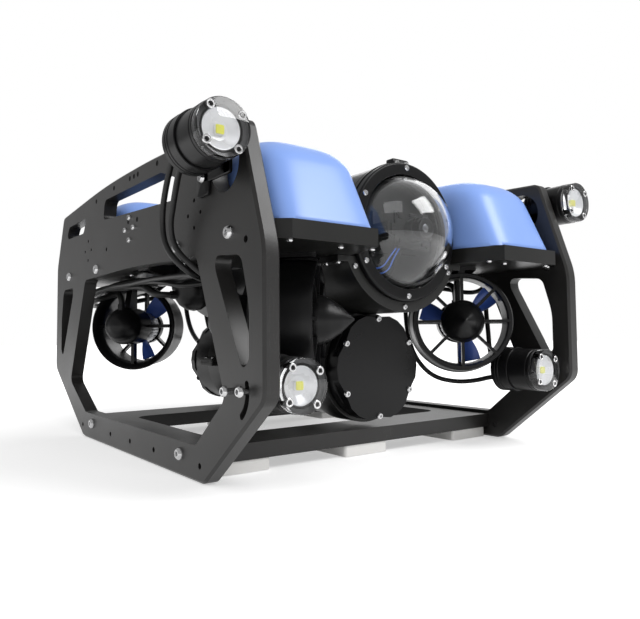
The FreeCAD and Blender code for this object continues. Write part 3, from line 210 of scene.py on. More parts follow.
looks = {
    "panelBlack": {"color": (0.013, 0.0125, 0.0125), "color2": (0.022, 0.021, 0.020),
                   "roughness": (0.30, 0.42), "scuffColor": (0.095, 0.092, 0.09),
                   "scuffs": 0.42, "bump": 0.22, "grainScale": 1400.0, "dust": 0.05,
                   "specular": 0.43},
    "plateBlack": {"color": (0.010, 0.010, 0.010), "color2": (0.017, 0.017, 0.016),
                   "roughness": (0.30, 0.40), "scuffColor": (0.05, 0.05, 0.05),
                   "scuffs": 0.35, "bump": 0.18, "grainScale": 1400.0, "dust": 0.05,
                   "specular": 0.3},
    "fairingBlue": {"color": (0.225, 0.385, 0.86), "color2": (0.25, 0.41, 0.88),
                    "roughness": (0.30, 0.40), "scuffColor": (0.33, 0.5, 0.9), "scuffs": 0.25,
                    "bump": 0.10, "grainScale": 1100.0, "coat": 0.15, "coatRoughness": 0.25,
                    "dust": 0.03},
    "anodisedBlack": {"color": (0.004, 0.004, 0.0044), "color2": (0.007, 0.007, 0.0075),
                      "roughness": (0.24, 0.34), "scuffColor": (0.045, 0.045, 0.045),
                      "scuffs": 0.3, "bump": 0.10, "turned": 1500.0, "dust": 0.03,
                      "specular": 0.2},
    "ductBlack": {"color": (0.004, 0.004, 0.0044), "color2": (0.007, 0.007, 0.0075),
                  "roughness": (0.28, 0.38), "scuffColor": (0.04, 0.04, 0.04), "scuffs": 0.25,
                  "bump": 0.14, "grainScale": 1800.0, "dust": 0.03, "specular": 0.22},
    "cableBlack": {"color": (0.008, 0.008, 0.008), "color2": (0.014, 0.014, 0.014),
                   "roughness": (0.36, 0.5), "scuffColor": (0.05, 0.05, 0.05), "scuffs": 0.2,
                   "bump": 0.2, "grainScale": 2400.0, "dust": 0.04, "specular": 0.35},
    "wireBlue": {"color": (0.03, 0.12, 0.55), "color2": (0.04, 0.15, 0.62),
                 "roughness": (0.35, 0.45), "scuffs": 0.1, "bump": 0.1, "dust": 0.0},
    "propellerBlue": {"color": (0.055, 0.125, 0.50), "color2": (0.07, 0.15, 0.58),
                      "roughness": (0.28, 0.36), "scuffColor": (0.12, 0.22, 0.6),
                      "scuffs": 0.3, "bump": 0.08, "dust": 0.0},
    "stainless": {"color": (0.62, 0.62, 0.62), "color2": (0.52, 0.52, 0.53),
                  "roughness": (0.18, 0.30), "metallic": 1.0,
                  "scuffColor": (0.76, 0.76, 0.76), "bump": 0.06, "grainScale": 2600.0},
    "motorBell": {"color": (0.50, 0.51, 0.53), "color2": (0.42, 0.43, 0.46),
                  "roughness": (0.30, 0.42), "metallic": 0.6, "scuffs": 0.3,
                  "scuffColor": (0.6, 0.6, 0.6), "bump": 0.1, "grainScale": 2000.0},
    "ballastSilver": {"color": (0.93, 0.92, 0.90), "color2": (0.86, 0.85, 0.83),
                      "roughness": (0.34, 0.5), "metallic": 0.1, "scuffs": 0.45,
                      "scuffColor": (0.9, 0.9, 0.9), "bump": 0.15, "grainScale": 700.0},
    "boardDark": {"color": (0.004, 0.005, 0.005), "color2": (0.007, 0.008, 0.008),
                  "roughness": (0.4, 0.55), "scuffs": 0.0, "bump": 0.04, "specular": 0.2,
                  "dust": 0.0},
    "batteryWrap": {"color": (0.03, 0.03, 0.028), "color2": (0.04, 0.04, 0.036),
                    "roughness": (0.35, 0.5), "scuffs": 0.2, "bump": 0.1},
    "reflectorSilver": {"color": (0.80, 0.80, 0.81), "color2": (0.70, 0.70, 0.72),
                        "roughness": (0.20, 0.34), "metallic": 0.12, "scuffs": 0.1,
                        "scuffColor": (0.9, 0.9, 0.9), "bump": 0.05, "dust": 0.0},
    "seatGrey": {"color": (0.06, 0.06, 0.062), "color2": (0.035, 0.035, 0.037),
                 "roughness": (0.14, 0.26), "metallic": 0.3, "scuffs": 0.1,
                 "scuffColor": (0.4, 0.4, 0.4), "bump": 0.05, "dust": 0.0},
    "ceramicWhite": {"color": (0.80, 0.80, 0.77), "color2": (0.72, 0.72, 0.70),
                     "roughness": (0.35, 0.5), "scuffs": 0.05, "bump": 0.05, "dust": 0.0},
    "phosphorYellow": {"color": (0.72, 0.70, 0.04), "color2": (0.80, 0.78, 0.07),
                       "roughness": (0.4, 0.55), "scuffs": 0.05, "bump": 0.1,
                       "grainScale": 3000.0, "dust": 0.0},
    # Near-black and barely reflective: the real black of the rubber seals, and painted shade
    # where it fills the panel holes and the pits of the lens sockets
    "blackRubberAndHoleShade": {"color": (0.003, 0.003, 0.003), "color2": (0.005, 0.005, 0.005),
                    "roughness": (0.5, 0.65), "scuffs": 0.02, "bump": 0.03, "dust": 0.0,
                    "specular": 0.06},
    "lensCoated": {"color": (0.008, 0.010, 0.018), "color2": (0.012, 0.014, 0.026),
                   "roughness": (0.03, 0.07), "scuffs": 0.02, "bump": 0.02, "coat": 1.0,
                   "coatRoughness": 0.03, "dust": 0.0},
}
materials = {name: makeMaterial(name, look) for name, look in looks.items()}


# Clear acrylic: white transmission, a faint tint, a very light haze in its roughness
def makeClear(name, look):
    material = bpy.data.materials.new(name)
    material.use_nodes = True
    tree = material.node_tree
    shader = tree.nodes["Principled BSDF"]
    shader.inputs["Transmission Weight"].default_value = 1.0
    shader.inputs["IOR"].default_value = look["ior"]
    grain = useEffect(tree, "grain", {"Grain Scale": 500.0, "Smudge Scale": 30.0})
    spread = mathNode(tree, "MULTIPLY_ADD", grain.outputs["Smudge"], look["haze"])
    spread.node.inputs[2].default_value = 0.0
    tree.links.new(spread, shader.inputs["Roughness"])
    color = mixColor(tree, grain.outputs["Smudge"], look["color"], look["color2"])
    tree.links.new(color, shader.inputs["Base Color"])
    return material


clearLook = {"ior": 1.49, "haze": 0.004, "color": (0.98, 0.985, 0.99),
             "color2": (0.96, 0.97, 0.98)}
materials["clear"] = makeClear("clear", clearLook)
print("materials made")

slotOf = {part["node"]: part["material_slot"] for part in frame["record"]["subparts"]}
slotLook = {"panel_black": "panelBlack", "fairing_blue": "fairingBlue",
            "anodised_black": "anodisedBlack", "clear": "clear", "duct_black": "ductBlack",
            "propeller_blue": "propellerBlue", "stainless": "stainless",
            "ballast_silver": "ballastSilver", "board_dark": "boardDark",
            "battery_wrap": "batteryWrap", "cable_black": "cableBlack"}
pieceSlot = {look: slot for slot, look in slotLook.items()}
pieceSlot.update({"plateBlack": "panel_black", "reflectorSilver": "stainless",
                  "ceramicWhite": "stainless", "phosphorYellow": "stainless",
                  "seatGrey": "anodised_black", "blackRubberAndHoleShade": "anodised_black",
                  "motorBell": "propeller_blue", "lensCoated": "board_dark",
                  "wireBlue": "cable_black"})
nodeLook = {"center_plate": "plateBlack", "tube_cradles": "plateBlack",
            "battery_straps": "plateBlack"}

mergeReach = 2e-6  # how near two points of a CAD mesh lie when they are one


# An object for a mesh, a curve, a lamp or a camera, in the scene
def newObject(name, data):
    thing = bpy.data.objects.new(name, data)
    bpy.context.scene.collection.objects.link(thing)
    return thing


# Rounds edges sharper than an angle with two steps, and weighs the normals by face size
def roundEdges(piece, width, angle):
    bevel = piece.modifiers.new("edges", "BEVEL")
    bevel.width = width
    bevel.segments = 2
    bevel.limit_method = "ANGLE"
    bevel.angle_limit = math.radians(angle)
    weighted = piece.modifiers.new("normals", "WEIGHTED_NORMAL")
    weighted.keep_sharp = True


# Gives a CAD node its finish, joins its triangles and rounds its sharp edges a little
def dressNode(name, edge=0.0005, angle=32.0):
    node = frame["nodes"][name]
    look = slotLook[slotOf[name]]
    for start, other in nodeLook.items():
        if name.startswith(start):
            look = other
    node.data.materials.clear()
    node.data.materials.append(materials[look])
    node.modifiers.new("weld", "WELD").merge_threshold = mergeReach
    node.data.polygons.foreach_set("use_smooth", [True] * len(node.data.polygons))
    roundEdges(node, edge, angle)


replacedStarts = ("camera_dome", "light_lens_", "light_housing_", "light_bracket_", "fairing_",
                  "light_cable_", "thruster_cables_", "battery_cables", "propeller_")
for name in sorted(frame["nodes"]):
    if not name.startswith(replacedStarts):
        dressNode(name)
print("nodes dressed")


# Quads between neighbouring rows and columns of a grid whose columns close into a ring
def gridFaces(rows, columns, closedRows):
    row = np.arange(rows if closedRows else rows - 1)[:, None]
    column = np.arange(columns)[None, :]
    ahead = (row + 1) % rows
    beside = (column + 1) % columns
    corners = [row * columns + column, row * columns + beside, ahead * columns + beside,
               ahead * columns + column]
    return np.stack(corners, axis=-1).reshape(-1, 4)


# A profile carried round Z: x = radius cos(angle), y = radius sin(angle), z = height
def turned(profile, segments=64, change=None):
    angle = np.linspace(0, 2 * math.pi, segments, endpoint=False)
    profile = np.array(profile, float)
    radius = profile[:, :1] * np.ones(segments)
    if change is not None:
        radius = change(radius, angle)
    height = profile[:, 1:2] * np.ones(segments)
    return np.stack([radius * np.cos(angle), radius * np.sin(angle), height], axis=-1)


# Points of a grid turned and moved: its Z along a direction, its X near another, to a place
def standing(grid, place, along, up=(0, 0, 1)):
    zAxis = np.array(along, float) / np.linalg.norm(along)
    xAxis = np.array(up, float) - np.dot(up, zAxis) * zAxis
    xAxis /= np.linalg.norm(xAxis)
    return grid @ np.stack([xAxis, np.cross(zAxis, xAxis), zAxis]) + np.array(place, float)


# Joins doubled points, turns faces out, keeps edges over an angle sharp and gives the finish
def finishMesh(data, look, smooth):
    work = bmesh.new()
    work.from_mesh(data)
    bmesh.ops.remove_doubles(work, verts=work.verts, dist=1e-7)
    bmesh.ops.recalc_face_normals(work, faces=work.faces)
    work.to_mesh(data)
    work.free()
    data.shade_smooth()
    data.set_sharp_from_angle(angle=math.radians(smooth))
    data.materials.clear()
    data.materials.append(materials[look])


# Puts grids into one mesh piece and seats it on its body
def makePiece(name, grids, look, body="frame", slot=None, closedRows=False, smooth=32.0):
    points, faces, start = [], [], 0
    for grid in grids:
        rows, columns = grid.shape[:2]
        points.append(grid.reshape(-1, 3))
        faces.append(gridFaces(rows, columns, closedRows) + start)
        start += rows * columns
    data = bpy.data.meshes.new(name)
    data.from_pydata(np.concatenate(points).tolist(), [], np.concatenate(faces).tolist())
    finishMesh(data, look, smooth)
    piece = newObject(name, data)
    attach(piece, body)
    return piece


# One profile carried round an axis through a place, as a piece
def makeRound(name, profile, segments, place, along, look, body="frame", **more):
    grid = standing(turned(profile, segments), place, along)
    return makePiece(name, [grid], look, body, **more)


# A hexagon's edge as a share of its corner radius, for each angle
def hexagonShare(angle):
    return math.cos(math.pi / 6) / np.cos((angle + math.pi / 6) % (math.pi / 3) - math.pi / 6)


# Button head: the profile of a low dome carried round, with its last rings on a hexagon
def screwHead(look):
    radius, high = look["radius"], look["high"]
    key = radius * look["key"]
    profile = [(0, 0), (radius, 0), (radius, high * 0.3), (radius * 0.9, high * 0.72),
               (radius * 0.68, high), (key, high), (key, high * 0.35), (0, high * 0.35)]

    def change(spread, angle):
        spread[5:7] *= hexagonShare(angle)
        return spread
    return turned(profile, 24, change)


# Heads of one kind on one body, each at a place and facing a direction
def makeScrews(name, look, spots, body="frame", finish="stainless", **more):
    head = screwHead(look)
    grids = [standing(head, place, along, keyUp) for place, along in spots]
    makePiece(name, grids, finish, body, **more)


# A plate with rounded corners: each ring x = a |cos|^(2/n), y = b |sin|^(2/n), with its height
def roundedPlate(length, width, high, edge, power=7.0, segments=48):
    angle = np.linspace(0, 2 * math.pi, segments, endpoint=False)
    across = np.sign(np.cos(angle)) * np.abs(np.cos(angle)) ** (2 / power)
    along = np.sign(np.sin(angle)) * np.abs(np.sin(angle)) ** (2 / power)
    rings = [(0.0, 0.0, 0.0), (1.0, 0.0, 0.0), (1.0, 0.0, high - edge),
             (1.0, edge * 0.7, high - edge * 0.3), (1.0, edge * 1.6, high), (0.0, 0.0, high)]
    grid = []
    for share, inset, height in rings:
        grid.append(np.stack([share * across * (length / 2 - inset),
                              share * along * (width / 2 - inset),
                              np.full(segments, height)], axis=-1))
    return np.array(grid)


sides = {"port": 1, "starboard": -1}
ahead = (0, -1, 0)
keyUp = (0.3, 0.2, 0.93)  # where a corner of each screw's hexagon points
screws = {"small": {"radius": 0.0022, "high": 0.0013, "key": 0.5},
          "ring": {"radius": 0.0025, "high": 0.0016, "key": 0.5},
          "cap": {"radius": 0.0030, "high": 0.0020, "key": 0.48},
          "foot": {"radius": 0.0025, "high": 0.0024, "key": 0.5},
          "frame": {"radius": 0.0048, "high": 0.0031, "key": 0.5},
          "bolt": {"radius": 0.0038, "high": 0.0028, "key": 0.5}}


# Places on a circle about a Y axis, in degrees from +X towards +Z
def ringSpots(radius, centreZ, y, facing, angles):
    turn = [math.radians(angle) for angle in angles]
    return [((radius * math.cos(a), y, centreZ + radius * math.sin(a)), (0, facing, 0))
            for a in turn]


# Places on the outer faces of both side panels, each facing outwards
def onPanels(x, places):
    return [((side * x, y, z), (side, 0, 0)) for side in (1, -1) for y, z in places]


enclosure = {"axisZ": 0.1865, "domeCentreY": -0.166, "domeRadius": 0.049, "domeWall": 0.0032,
             "rimRadius": 0.0504, "rimBackY": -0.1756, "rimFrontY": -0.1799,
             "ringFrontY": -0.1826, "ringScrewRadius": 0.0528, "capBackY": 0.1396,
             "capScrewRadius": 0.0512, "capScrewTurn": (18, 54, 126, 162, 234, 306),
             "sealRadius": 0.0562, "sealThick": 0.0008, "sealBackY": 0.1336,
             "cradleRadius": 0.0614, "cradleFrontY": -0.178, "cradleBackY": 0.124,
             "batteryZ": 0.0748, "batteryFrontY": -0.1461, "batteryBackY": 0.1219,
             "batteryScrewRadius": 0.0414, "clampX": 0.0525, "clampZ": 0.0788,
             "clampY": (-0.124, -0.110, 0.056, 0.070)}


# Dome: both spheres as arcs carried round the Y axis, joined by the flat rim
def makeDome():
    e = enclosure
    outer, inner = e["domeRadius"], e["domeRadius"] - e["domeWall"]
    depthFront = e["domeCentreY"] - e["rimFrontY"]
    depthBack = e["domeCentreY"] - e["rimBackY"]
    frontTurn = np.linspace(math.pi / 2, math.asin(depthFront / outer), 40)
    backTurn = np.linspace(math.asin(depthBack / inner), math.pi / 2, 40)
    profile = [(outer * math.cos(a), outer * math.sin(a)) for a in frontTurn]
    profile += [(e["rimRadius"], depthFront), (e["rimRadius"], depthBack)]
    profile += [(inner * math.cos(a), inner * math.sin(a)) for a in backTurn]
    profile[0], profile[-1] = (0, outer), (0, inner)
    dome = makeRound("domeClear", profile, 128, (0, e["domeCentreY"], e["axisZ"]), ahead,
                     "clear", smooth=40)
    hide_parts("camera_dome")


# Black O-ring behind the dome's rim and the pressure gasket of the rear cap: round sections
def makeSeals():
    e = enclosure
    turn = np.linspace(0, 2 * math.pi, 12, endpoint=False)
    radius, thick = e["sealRadius"], e["sealThick"]
    profile = np.stack([radius + thick + thick * np.cos(turn), thick * np.sin(turn)], 1)
    grids = [standing(turned(profile, 96), (0, y, e["axisZ"]), ahead)
             for y in (e["rimBackY"], e["sealBackY"])]
    makePiece("tubeSeals", grids, "blackRubberAndHoleShade", slot="cable_black", closedRows=True)


# Screws on circles about the two tubes, and four pairs beside the battery's clamps
def makeTubeScrews():
    e = enclosure
    lobes = (30, 90, 150, 210, 270, 330)
    spots = ringSpots(e["ringScrewRadius"], e["axisZ"], e["ringFrontY"], -1, lobes)
    spots += ringSpots(e["capScrewRadius"], e["axisZ"], e["capBackY"], 1, e["capScrewTurn"])
    makeScrews("tubeRingScrews", screws["ring"], spots)
    spots = ringSpots(e["cradleRadius"], e["axisZ"], e["cradleFrontY"], -1, lobes[3:])
    spots += ringSpots(e["cradleRadius"], e["axisZ"], e["cradleBackY"], 1, lobes[3:])
    makeScrews("cradleScrews", screws["ring"], spots)
    spots = ringSpots(e["batteryScrewRadius"], e["batteryZ"], e["batteryFrontY"], -1, lobes)
    spots += ringSpots(e["batteryScrewRadius"], e["batteryZ"], e["batteryBackY"], 1, lobes)
    makeScrews("batteryCapScrews", screws["cap"], spots)
    spots = [((x, y, e["clampZ"]), (0, 0, 1)) for x in (-e["clampX"], e["clampX"])
             for y in e["clampY"]]
    makeScrews("clampScrews", screws["small"], spots)


frameFixings = {"underZ": 0.1637, "under": [(0.141, 0.216), (0.066, 0.212), (0.092, 0.208),
                                            (0.1505, 0.212), (0.141, 0.060), (0.066, 0.060)],
                "cradleX": 0.064, "cradleZ": 0.1587, "cradleY": (-0.171, -0.156, 0.102, 0.116),
                "faceX": 0.169, "footCentre": (-0.008, 0.198), "footReach": 0.010,
                "headX": 0.1689, "heads": [(y, 0.17005) for y in (-0.187, -0.107, 0.082, 0.176)]
                + [(y, 0.01605) for y in (-0.113, 0.091)]}


# Screws under the centre plates, in the lift thrusters' feet and in the side panels
def makeFrameScrews():
    f = frameFixings
    spots = [((side * x, end * y, f["underZ"]), (0, 0, -1)) for side in (1, -1)
             for end in (1, -1) for x, y in f["under"]]
    spots += [((side * f["cradleX"], y, f["cradleZ"]), (0, 0, -1)) for side in (1, -1)
              for y in f["cradleY"]]
    makeScrews("underScrews", screws["small"], spots)
    (y, z), reach = f["footCentre"], f["footReach"]
    cross = ((y - reach, z), (y + reach, z), (y, z + reach), (y, z - reach))
    makeScrews("liftFootScrews", screws["foot"], onPanels(f["faceX"], cross))
    makeScrews("frameScrewHeads", screws["frame"], onPanels(f["headX"], f["heads"]))


panelHoleShade = {"radius": 0.0023, "lip": 0.0004, "faceX": 0.169,
              "places": [(-0.068, 0.2435), (-0.026, 0.2435), (-0.017, 0.2435),
                         (-0.007, 0.2435), (0.034, 0.2430), (0.086, 0.2395),
                         (-0.025, 0.204), (-0.004, 0.205)]}


# Small blind holes along the top and middle of the side panels: shallow cups carried round, in a
# near-black, barely reflective finish that paints the shade inside each hole
def makePanelHoleShade():
    h = panelHoleShade
    radius, lip = h["radius"], h["lip"]
    cup = [(0, 0.00004), (radius - lip, 0.00004), (radius - lip / 2, 0.00012),
           (radius, 0.00004), (radius, -0.0004), (0, -0.0004)]
    grids = [standing(turned(cup, 20), *spot) for spot in onPanels(h["faceX"], h["places"])]
    makePiece("panelHoleShade", grids, "blackRubberAndHoleShade", slot="panel_black")


ringLug = {"faceY": -0.1695, "thick": 0.0072, "long": 0.020, "high": 0.010, "middleZ": 0.2432,
           "footLong": 0.030, "footHigh": 0.006, "footThick": 0.0070, "footZ": 0.2405,
           "screwX": 0.0052, "screwZ": 0.2440}


# Lug with two screws on top of the tube's front flange: two rounded plates facing ahead
def makeRingLug():
    g = ringLug
    block = standing(roundedPlate(g["long"], g["high"], g["thick"], 0.0012),
                     (0, g["faceY"], g["middleZ"]), ahead, (1, 0, 0))
    foot = standing(roundedPlate(g["footLong"], g["footHigh"], g["footThick"], 0.0010),
                    (0, g["faceY"] - 0.0001, g["footZ"]), ahead, (1, 0, 0))
    makePiece("ringLug", [block, foot], "anodisedBlack")
    spots = [((x, g["faceY"] - g["thick"], g["screwZ"]), ahead)
             for x in (-g["screwX"], g["screwX"])]
    makeScrews("ringLugScrews", screws["ring"], spots)


fairing = {"inner": 0.0605, "outer": 0.1538, "foot": 0.2215, "back": 0.0635, "floor": 0.1764,
           "high": 0.063, "rise": 0.005, "rake": 0.025, "round": 0.019, "draft": 0.0022,
           "power": 5.2, "soften": 1.4, "footEdge": 0.0006, "wallRings": 9, "turnRings": 12,
           "topRings": 7, "crown": 0.0012, "columns": 144, "wallStart": 0.004,
           "topInset": (0.006, 0.028)}


# Fairing: rings x = a |cos|^(2/n), y = b |sin|^(2/n), which climb with a raked front, turn
# over a quarter circle and close in a slightly crowned top that rises away from the rake
def makeFairing(end, way, side, sign):
    f = fairing
    walls, tops, edge = f["wallRings"], f["topRings"], f["footEdge"]
    turn = np.linspace(0, math.pi / 2, f["turnRings"])[1:]
    straight = f["high"] - f["round"]
    rise = np.concatenate([[0, 0, edge], np.linspace(f["wallStart"], straight, walls),
                           straight + f["round"] * np.sin(turn), np.full(tops, f["high"])])
    inset = np.concatenate([[1, edge, 0], np.zeros(walls), f["round"] * (1 - np.cos(turn)),
                            f["round"] + np.linspace(*f["topInset"], tops)])
    inset[3:] += f["draft"] * rise[3:] / f["high"]
    crown = np.concatenate([np.zeros(len(rise) - tops), np.linspace(0.0001, f["crown"], tops)])
    power = f["power"] - f["soften"] * rise / f["high"]
    angle = np.linspace(0, 2 * math.pi, f["columns"], endpoint=False)
    cosine, sine = np.cos(angle), np.sin(angle)
    share = 2 / power[:, None]
    across = np.sign(cosine) * np.abs(cosine) ** share
    along = np.sign(sine) * np.abs(sine) ** share
    halfWide = np.maximum((f["outer"] - f["inner"]) / 2 - inset, 0)[:, None]
    front = f["foot"] - f["rake"] * (rise / f["high"])
    halfLong = np.maximum((front - f["back"]) / 2 - inset, 0)[:, None]
    middle = ((front + f["back"]) / 2)[:, None]
    halfWide[[0, -1]], halfLong[[0, -1]] = 0, 0
    x = (f["inner"] + f["outer"]) / 2 + halfWide * across
    y = middle + halfLong * along
    climb = f["rise"] * (f["foot"] - y) / (f["foot"] - f["back"]) * (rise / f["high"])[:, None]
    z = f["floor"] + rise[:, None] + climb + crown[:, None]
    grid = np.stack([sign * x, way * y, z + 0 * x], axis=-1)
    piece = makePiece("fairing_%s_%s_cover" % (end, side), [grid], "fairingBlue", smooth=60)
    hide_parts("fairing_%s_%s" % (end, side))


for side, sign in sides.items():
    makeFairing("bow", -1, side, sign)
    makeFairing("stern", 1, side, sign)
print("fairings made")

makeDome()
makeSeals()
makeTubeScrews()
makeFrameScrews()
makePanelHoleShade()
makeRingLug()
print("tubes and screws made")

lamp = {"frontY": -0.221, "lensRadius": 0.0185, "lensThick": 0.0075, "cupRadius": 0.0128,
        "cupFoot": 0.0062, "cupDeep": 0.0040, "socketRadius": 0.0154, "chip": 0.0054,
        "socketTurn": (38, 128, 218, 308), "base": 0.0062, "bodyRadius": 0.0188,
        "flangeRadius": 0.0203, "flangeThick": 0.0085, "clampRadius": 0.0201,
        "clampWide": 0.009, "glandSpread": 0.008, "long": 0.047, "baseHigh": 0.0021,
        "chipHigh": 0.0006, "sealRadius": 0.0137, "sealThick": 0.0007, "collarRadius": 0.0029,
        "sleeveRadius": 0.0021, "boreRadius": 0.00155, "nutCorner": 1.08}
lampPlaces = {"light_top_port": (0.1908, 0.227), "light_low_port": (0.133, 0.070),
              "light_top_starboard": (-0.1908, 0.227), "light_low_starboard": (-0.133, 0.070)}


# One light's clear lens, screw sockets, reflector, light source and seal; each a profile
# carried round the light's axis or a rounded plate standing on it
def makeLampFront(body, x, z):
    tag = body.replace("light_", "")
    centre = (x, lamp["frontY"], z)
    radius, thick = lamp["lensRadius"], lamp["lensThick"]
    profile = [(0, -thick), (radius, -thick), (radius, -0.0011), (radius - 0.0004, -0.0003),
               (radius - 0.0011, 0), (0, 0)]
    lens = makeRound("lens_" + tag, profile, 96, centre, ahead, "clear", body)
    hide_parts("light_lens_" + tag)
    cup, foot, deep = lamp["cupRadius"], lamp["cupFoot"], lamp["cupDeep"]
    wall = np.linspace(0, 1, 10)
    outer = foot - 0.0003 + (cup - foot) * wall ** 1.3
    rise = -thick - deep + 0.0001 + (deep - 0.0002) * wall
    profile = [(0, rise[0])] + list(zip(outer, rise))
    profile += [(r - 0.0004, h) for r, h in zip(outer[::-1], rise[::-1])][:-1]
    profile += [(foot - 0.0004, rise[0] + 0.0004), (0, rise[0] + 0.0004)]
    makeRound("reflector_" + tag, profile, 72, centre, ahead, "reflectorSilver", body)
    base = roundedPlate(lamp["base"], lamp["base"], lamp["baseHigh"], 0.0003)
    base[:, :, 2] -= thick + deep - 0.0003
    makePiece("sourceBase_" + tag, [standing(base, centre, ahead)], "ceramicWhite", body)
    chip = roundedPlate(lamp["chip"], lamp["chip"], lamp["chipHigh"], 0.0002)
    chip[:, :, 2] -= thick + deep - lamp["baseHigh"] - 0.0003
    makePiece("sourceChip_" + tag, [standing(chip, centre, ahead)], "phosphorYellow", body)
    seatRing = [(cup, -thick + 0.00005), (radius - 0.0003, -thick + 0.00005),
                (radius - 0.0003, -thick + 0.0004), (cup + 0.0004, -thick + 0.0004)]
    makeRound("lensSeat_" + tag, seatRing, 96, centre, ahead, "seatGrey", body,
              closedRows=True)
    turn = np.linspace(0, 2 * math.pi, 10, endpoint=False)
    seal = lamp["sealThick"]
    profile = np.stack([lamp["sealRadius"] + seal * np.cos(turn),
                        -thick + seal * np.sin(turn)], 1)
    makeRound("lensSeal_" + tag, profile, 72, centre, ahead, "blackRubberAndHoleShade", body,
              closedRows=True)
    # Each socket's sleeve is near-black and barely reflective, sunk in the bore of its stainless
    # collar: painted shade in the socket's pit
    outer, inner, bore = lamp["collarRadius"], lamp["sleeveRadius"], lamp["boreRadius"]
    sleeve = [(0, -thick + 0.0001), (inner, -thick + 0.0001), (inner, -0.0002),
              (0.0014, 0.00005), (0.00135, -0.0012), (0, -0.0012)]
    collar = [(bore, -0.0012), (outer, -0.0012), (outer, 0.0001), (outer - 0.0003, 0.0003),
              (0.0018, 0.0003), (bore, 0.0001)]
    sleeves, collars = [], []
    for angle in lamp["socketTurn"]:
        spot = (x + lamp["socketRadius"] * math.cos(math.radians(angle)), lamp["frontY"],
                z + lamp["socketRadius"] * math.sin(math.radians(angle)))
        sleeves.append(standing(turned(sleeve, 24), spot, ahead))
        collars.append(standing(turned(collar, 28), spot, ahead))
    makePiece("lensSocketShade_" + tag, sleeves, "blackRubberAndHoleShade", body)
    makePiece("lensCollars_" + tag, collars, "stainless", body, closedRows=True)


# Body: a grooved profile carried round, with a hexagon nut and a boot behind for each cable
def makeLampBody(body, x, z):
    tag = body.replace("light_", "")
    long = lamp["long"]
    centre = (x, lamp["frontY"], z)
    r, flange, seat = lamp["bodyRadius"], lamp["flangeRadius"], -lamp["lensThick"]
    start = -long + lamp["flangeThick"]
    cup, foot, deep = lamp["cupRadius"], lamp["cupFoot"], lamp["cupDeep"]
    profile = [(0, -long), (flange - 0.0012, -long), (flange, -long + 0.0012),
               (flange, start - 0.0036), (flange - 0.0007, start - 0.0031),
               (flange - 0.0007, start - 0.0027), (flange, start - 0.0022),
               (flange, start - 0.0006), (flange - 0.0006, start), (r, start),
               (r, seat - 0.0040), (r - 0.0005, seat - 0.0036), (r - 0.0005, seat - 0.0030),
               (r, seat - 0.0026), (r, seat - 0.0004), (r - 0.0004, seat), (cup, seat),
               (foot, seat - deep), (0, seat - deep)]
    piece = makeRound("lampBody_" + tag, profile, 96, centre, ahead, "anodisedBlack", body)
    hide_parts("light_housing_" + tag)
    nut = [(0, -0.0001), (0.0050, -0.0001), (0.0050, 0.0042), (0.0046, 0.0046), (0, 0.0046)]
    boot = [(0, 0.0040), (0.0039, 0.0040), (0.0039, 0.0060), (0.0034, 0.0064),
            (0.0034, 0.0078), (0.0037, 0.0082), (0.0030, 0.0122), (0.0027, 0.0124), (0, 0.0124)]

    def sixSided(radius, angle):
        radius[1:4] *= lamp["nutCorner"] * hexagonShare(angle)
        return radius
    grids = []
    for row in (1, -1):
        place = (x, lamp["frontY"] + long, z + row * lamp["glandSpread"])
        grids.append(standing(turned(nut, 36, sixSided), place, (0, 1, 0)))
        grids.append(standing(turned(boot, 36), place, (0, 1, 0)))
    makePiece("lampGlands_" + tag, grids, "cableBlack", body, slot="anodised_black",
              smooth=28)


# Brackets: each plate is its bow and stern y and its low and high z; None is the band's edge
bracket = {
    "top": {"faceX": 0.1693, "bolts": [],
            "plates": [(None, -0.147, 0.209, 0.219), (None, None, 0.209, 0.227),
                       (-0.162, -0.144, 0.200, 0.222)]},
    "low": {"faceX": 0.1539, "plates": [(-0.217, None, 0.059, 0.075)],
            "bolts": [(-0.190, 0.067), (-0.20947, 0.06802)]},
    "sheet": 0.0021, "headX": 0.1737, "shankX": 0.155, "shankRadius": 0.0021,
    "shankLong": 0.0190}


# Clamp: a flat band carried round the body, and rounded sheet plates out to the pivot
def makeLampClamp(body, x, z):
    tag = body.replace("light_", "")
    sign = 1 if x > 0 else -1
    b = bracket
    wide, kind = lamp["clampWide"], b[tag[:3]]
    near = -lamp["long"] + lamp["flangeThick"] + 0.0004
    inner, outer, edge = lamp["bodyRadius"] + 0.0001, lamp["clampRadius"], 0.0004
    band = [(inner, near), (outer - edge, near), (outer, near + edge),
            (outer, near + wide - edge), (outer - edge, near + wide), (inner, near + wide)]
    piece = makeRound("lampBand_" + tag, band, 96, (x, lamp["frontY"], z), ahead,
                      "anodisedBlack", body, closedRows=True)
    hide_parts("light_bracket_" + tag)
    stern = lamp["frontY"] - near
    grids = []
    for y0, y1, z0, z1 in kind["plates"]:
        y0 = stern - wide if y0 is None else y0
        y1 = stern if y1 is None else y1
        plate = roundedPlate(y1 - y0, z1 - z0, b["sheet"], 0.0004, 9.0)
        place = (sign * kind["faceX"], (y0 + y1) / 2, (z0 + z1) / 2)
        grids.append(standing(plate, place, (sign, 0, 0), (0, 1, 0)))
    makePiece("lampPlate_" + tag, grids, "anodisedBlack", body)
    if kind["bolts"]:
        spots = [((sign * b["headX"], *bolt), (sign, 0, 0)) for bolt in kind["bolts"]]
        makeScrews("lampBolts_" + tag, screws["bolt"], spots, body)
        radius, long = b["shankRadius"], b["shankLong"]
        shank = [(0, 0), (radius, 0), (radius, long), (0, long)]
        grids = [standing(turned(shank, 24), (sign * b["shankX"], *bolt), (sign, 0, 0))
                 for bolt in kind["bolts"]]
        makePiece("lampShanks_" + tag, grids, "stainless", body)


for body, (x, z) in lampPlaces.items():
    makeLampFront(body, x, z)
    makeLampBody(body, x, z)
    makeLampClamp(body, x, z)
print("lights made")

